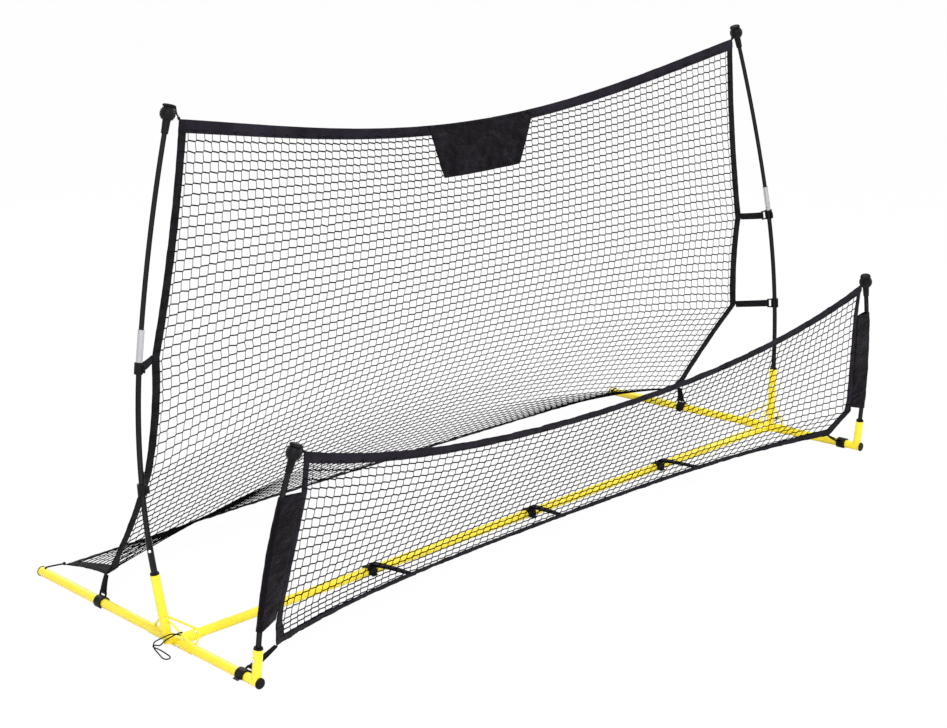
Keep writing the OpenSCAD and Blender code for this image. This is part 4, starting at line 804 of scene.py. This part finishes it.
def crown_tie(b, ball, axis, corner, side):
    """A cord tied round a ball cap's crown that passes the ball and ends at the net's corner."""
    neck = ball + TIE_UP * axis
    r = CROWN_D / 2 + TIE_D / 2 + SEAT_GAP
    flip = vec(side, 1, 1)
    out = unit((corner - neck) - axis * ((corner - neck) @ axis))
    b.tube(ring(neck, axis, r) * flip, TIE_D / 2, 10, closed=True)
    b.tube(ring(neck + axis * TIE_D * 0.5, axis, r - 0.0002) * flip, TIE_D * 0.32, 8, closed=True)
    start, bend = neck + r * out, ball + (BALL_D / 2 + 0.0035) * unit(out + 0.25 * axis)
    run = unit(corner - bend)
    drop = [start - out * 0.001, start + out * 0.0035 - axis * 0.001, bend, (bend + corner) / 2,
            corner + run * 0.003]
    b.tube(smooth(drop) * flip, TIE_D * 0.46, 10)
    for spot, tilt in ((start + out * 0.002, 0.5), (corner - run * 0.003, -0.4),
                       (corner - run * 0.0005, 0.6)):
        b.tube(ring(spot, unit(run + tilt * axis), TIE_D * 0.6, 16) * flip, TIE_D * 0.36, 8, closed=True)


top_ties, front_ties, rear_ties = Build(), Build(), Build()
for side in (-1, 1):
    tip = LOWER_LEN + UPPER_LEN
    crown_tie(top_ties, MAIN_BALL, main_dir(tip, vec(0, 0, 1)), TOP_CORNER, side)
    crown_tie(front_ties, FRONT_BALL, front_axis(FRONT_LEN), FRONT_SIDE[0], side)
    hole = rail_point(REAR_REACH - TIE_HOLE_INSET) + vec(0, 0, RAIL_D / 2 - 0.0022)
    knot = REAR_CORNER + vec(0.002, 0.002, 0.003)
    flip = vec(side, 1, 1)
    rise = [hole, hole + vec(0, 0, 0.003), hole + vec(-0.004, -0.002, 0.0058),
            (hole + knot) / 2 + vec(0, 0, 0.003), knot]
    rear_ties.tube(smooth(rise) * flip, TIE_D / 2, 10)
    for turn in (vec(1, 0.4, 0), vec(-0.4, 1, 0.5), vec(0.2, 0.2, 1)):
        rear_ties.tube(ring(knot, unit(turn), TIE_D * 0.62, 16) * flip, TIE_D * 0.5, 8, closed=True)
top_ties.piece("top_corner_cords", BRAID, "tie_cord", "top_corner_ties")
front_ties.piece("front_corner_cords", BRAID, "tie_cord", "front_corner_ties")
rear_ties.piece("rear_corner_cords", BRAID, "tie_cord", "rear_corner_ties")

# --- storage cords: elastic loops from the front braces, lying on the ground beside the hubs ---
CORD_ROUTE = [
    (0.01, -0.0356, 0.0459), (0.0149, -0.0346, 0.0464), (0.0194, -0.031, 0.0445), (0.0234, -0.025, 0.0405),
    (0.0269, -0.017, 0.035), (0.0299, -0.008, 0.0285), (0.0319, 0.001, 0.0215), (0.0319, 0.009, 0.0145),
    (0.0309, 0.016, 0.0085), (0.0299, 0.0225, 0.004), (0.0299, 0.029, 0.0017), (0.0324, 0.0345, 0.0016),
    (0.0374, 0.036, 0.0016), (0.0414, 0.032, 0.0016), (0.0424, 0.025, 0.0016), (0.0419, 0.016, 0.0016),
    (0.0419, 0.004, 0.0016), (0.0434, -0.009, 0.0016), (0.0454, -0.022, 0.0016), (0.0474, -0.034, 0.0016),
    (0.0509, -0.042, 0.0016), (0.0574, -0.046, 0.0016), (0.0639, -0.0425, 0.0016), (0.0649, -0.0345, 0.0016),
    (0.0614, -0.022, 0.0016), (0.0569, -0.009, 0.0016), (0.0524, 0.004, 0.0016), (0.0489, 0.014, 0.0016),
    (0.0464, 0.022, 0.004), (0.0444, 0.026, 0.01), (0.0424, 0.023, 0.0165), (0.0404, 0.015, 0.022),
    (0.0379, 0.005, 0.0285), (0.0349, -0.005, 0.0345), (0.0309, -0.014, 0.04), (0.0259, -0.0215, 0.0425),
    (0.0209, -0.0275, 0.042), (0.0159, -0.0305, 0.0405), (0.012, -0.0302, 0.0386)]
for side, name in ((-1, "left"), (1, "right")):
    path = smooth(np.array(CORD_ROUTE) + vec(HUB_X, HUB_Y, 0)) * vec(side, 1, 1)
    b = Build()
    b.tube(path, CORD_D / 2, 10)
    loop = b.piece(f"{name}_storage_cord", BRAID, "elastic_cord", f"{name}_tie_cord")

# --- floor, light and camera ---
FLOOR_SIZE, FLOOR_GLOW = 60.0, 0.97
ROOM_LIGHT = 0.62  # strength of the white room, which the camera and mirror-like surfaces see at full white


def math_node(tree, operation, first, second):
    """A value worked out from a socket and another socket or a number."""
    node = tree.nodes.new("ShaderNodeMath")
    node.operation = operation
    tree.links.new(first, node.inputs[0])
    if isinstance(second, bpy.types.NodeSocket):
        tree.links.new(second, node.inputs[1])
    else:
        node.inputs[1].default_value = second
    return node.outputs[0]


def mixed_surface(tree, output, share, first, second):
    """Makes the output's surface run from the first shader to the second as share goes from 0 to 1."""
    mix = tree.nodes.new("ShaderNodeMixShader")
    for socket, source in zip(mix.inputs, (share, first.outputs[0], second.outputs[0])):
        tree.links.new(source, socket)
    tree.links.new(mix.outputs[0], tree.nodes[output].inputs["Surface"])


def white_floor():
    """Paper that takes shadows and shows almost white to the camera."""
    corners = [(-FLOOR_SIZE, -FLOOR_SIZE, 0), (FLOOR_SIZE, -FLOOR_SIZE, 0), (FLOOR_SIZE, FLOOR_SIZE, 0),
               (-FLOOR_SIZE, FLOOR_SIZE, 0)]
    mesh = bpy.data.meshes.new("floor")
    mesh.from_pydata(corners, [], [(0, 1, 2, 3)])
    floor = bpy.data.objects.new("floor", mesh)
    bpy.context.scene.collection.objects.link(floor)
    paper = bpy.data.materials.new("white_paper")
    paper.use_nodes = True
    tree = paper.node_tree
    matt = tree.nodes["Principled BSDF"]
    matt.inputs["Base Color"].default_value = (0.9, 0.9, 0.9, 1)
    matt.inputs["Roughness"].default_value = 1.0
    glow = tree.nodes.new("ShaderNodeEmission")
    glow.inputs["Strength"].default_value = 1.0
    rays = tree.nodes.new("ShaderNodeLightPath")
    share = math_node(tree, "MULTIPLY", rays.outputs["Is Camera Ray"], FLOOR_GLOW)
    mixed_surface(tree, "Material Output", share, matt, glow)
    mesh.materials.append(paper)


def white_room():
    """A white world, dimmer as a light than it looks."""
    world = bpy.data.worlds.new("studio")
    bpy.context.scene.world = world
    world.use_nodes = True
    tree = world.node_tree
    dim, bright = tree.nodes["Background"], tree.nodes.new("ShaderNodeBackground")
    for shader, strength in ((dim, ROOM_LIGHT), (bright, 1.0)):
        shader.inputs["Color"].default_value = (1, 1, 1, 1)
        shader.inputs["Strength"].default_value = strength
    rays = tree.nodes.new("ShaderNodeLightPath").outputs
    seen = math_node(tree, "MAXIMUM", rays["Is Camera Ray"], rays["Is Glossy Ray"])
    seen = math_node(tree, "MAXIMUM", seen, rays["Is Transmission Ray"])
    mixed_surface(tree, "World Output", seen, dim, bright)


def softbox(name, place, aim, size, power):
    """A round lamp at a place, turned to what it aims at."""
    light = bpy.data.lights.new(name, "AREA")
    light.shape, light.size, light.energy = "DISK", size, power
    obj = bpy.data.objects.new(name, light)
    bpy.context.scene.collection.objects.link(obj)
    z = unit(vec(*place) - vec(*aim))
    x = unit(np.cross(vec(0, 0, 1), z))
    y = np.cross(z, x)
    obj.matrix_world = Matrix([[*row, at] for row, at in zip(np.stack([x, y, z], 1), place)] + [[0, 0, 0, 1]])


white_floor()
white_room()
softbox("key_softbox", (-2.4, -2.8, 3.6), (0, 0, 0.4), 2.4, 150)
softbox("fill_softbox", (3.4, -1.6, 2.8), (0, 0, 0.4), 2.6, 60)
softbox("rim_softbox", (0.8, 3.6, 3.2), (0, 0, 0.5), 2.4, 70)

CAMERA_PLACE = (-3.6053, -3.4186 + HUB_Y, 1.8139)
CAMERA_ANGLES = tuple(math.radians(a) for a in (74.214, 0.4874, -45.496))
SENSOR_WIDTH, LENS, RISE = 36.0, 77.99, 0.0063
camera_data = bpy.data.cameras.new("camera")
camera_data.sensor_width, camera_data.lens, camera_data.shift_y = SENSOR_WIDTH, LENS, RISE
camera_data.clip_end = 200.0
camera = bpy.data.objects.new("camera", camera_data)
camera.location, camera.rotation_euler = CAMERA_PLACE, CAMERA_ANGLES
bpy.context.scene.collection.objects.link(camera)
bpy.context.scene.camera = camera
bpy.context.scene.view_settings.view_transform = "Standard"
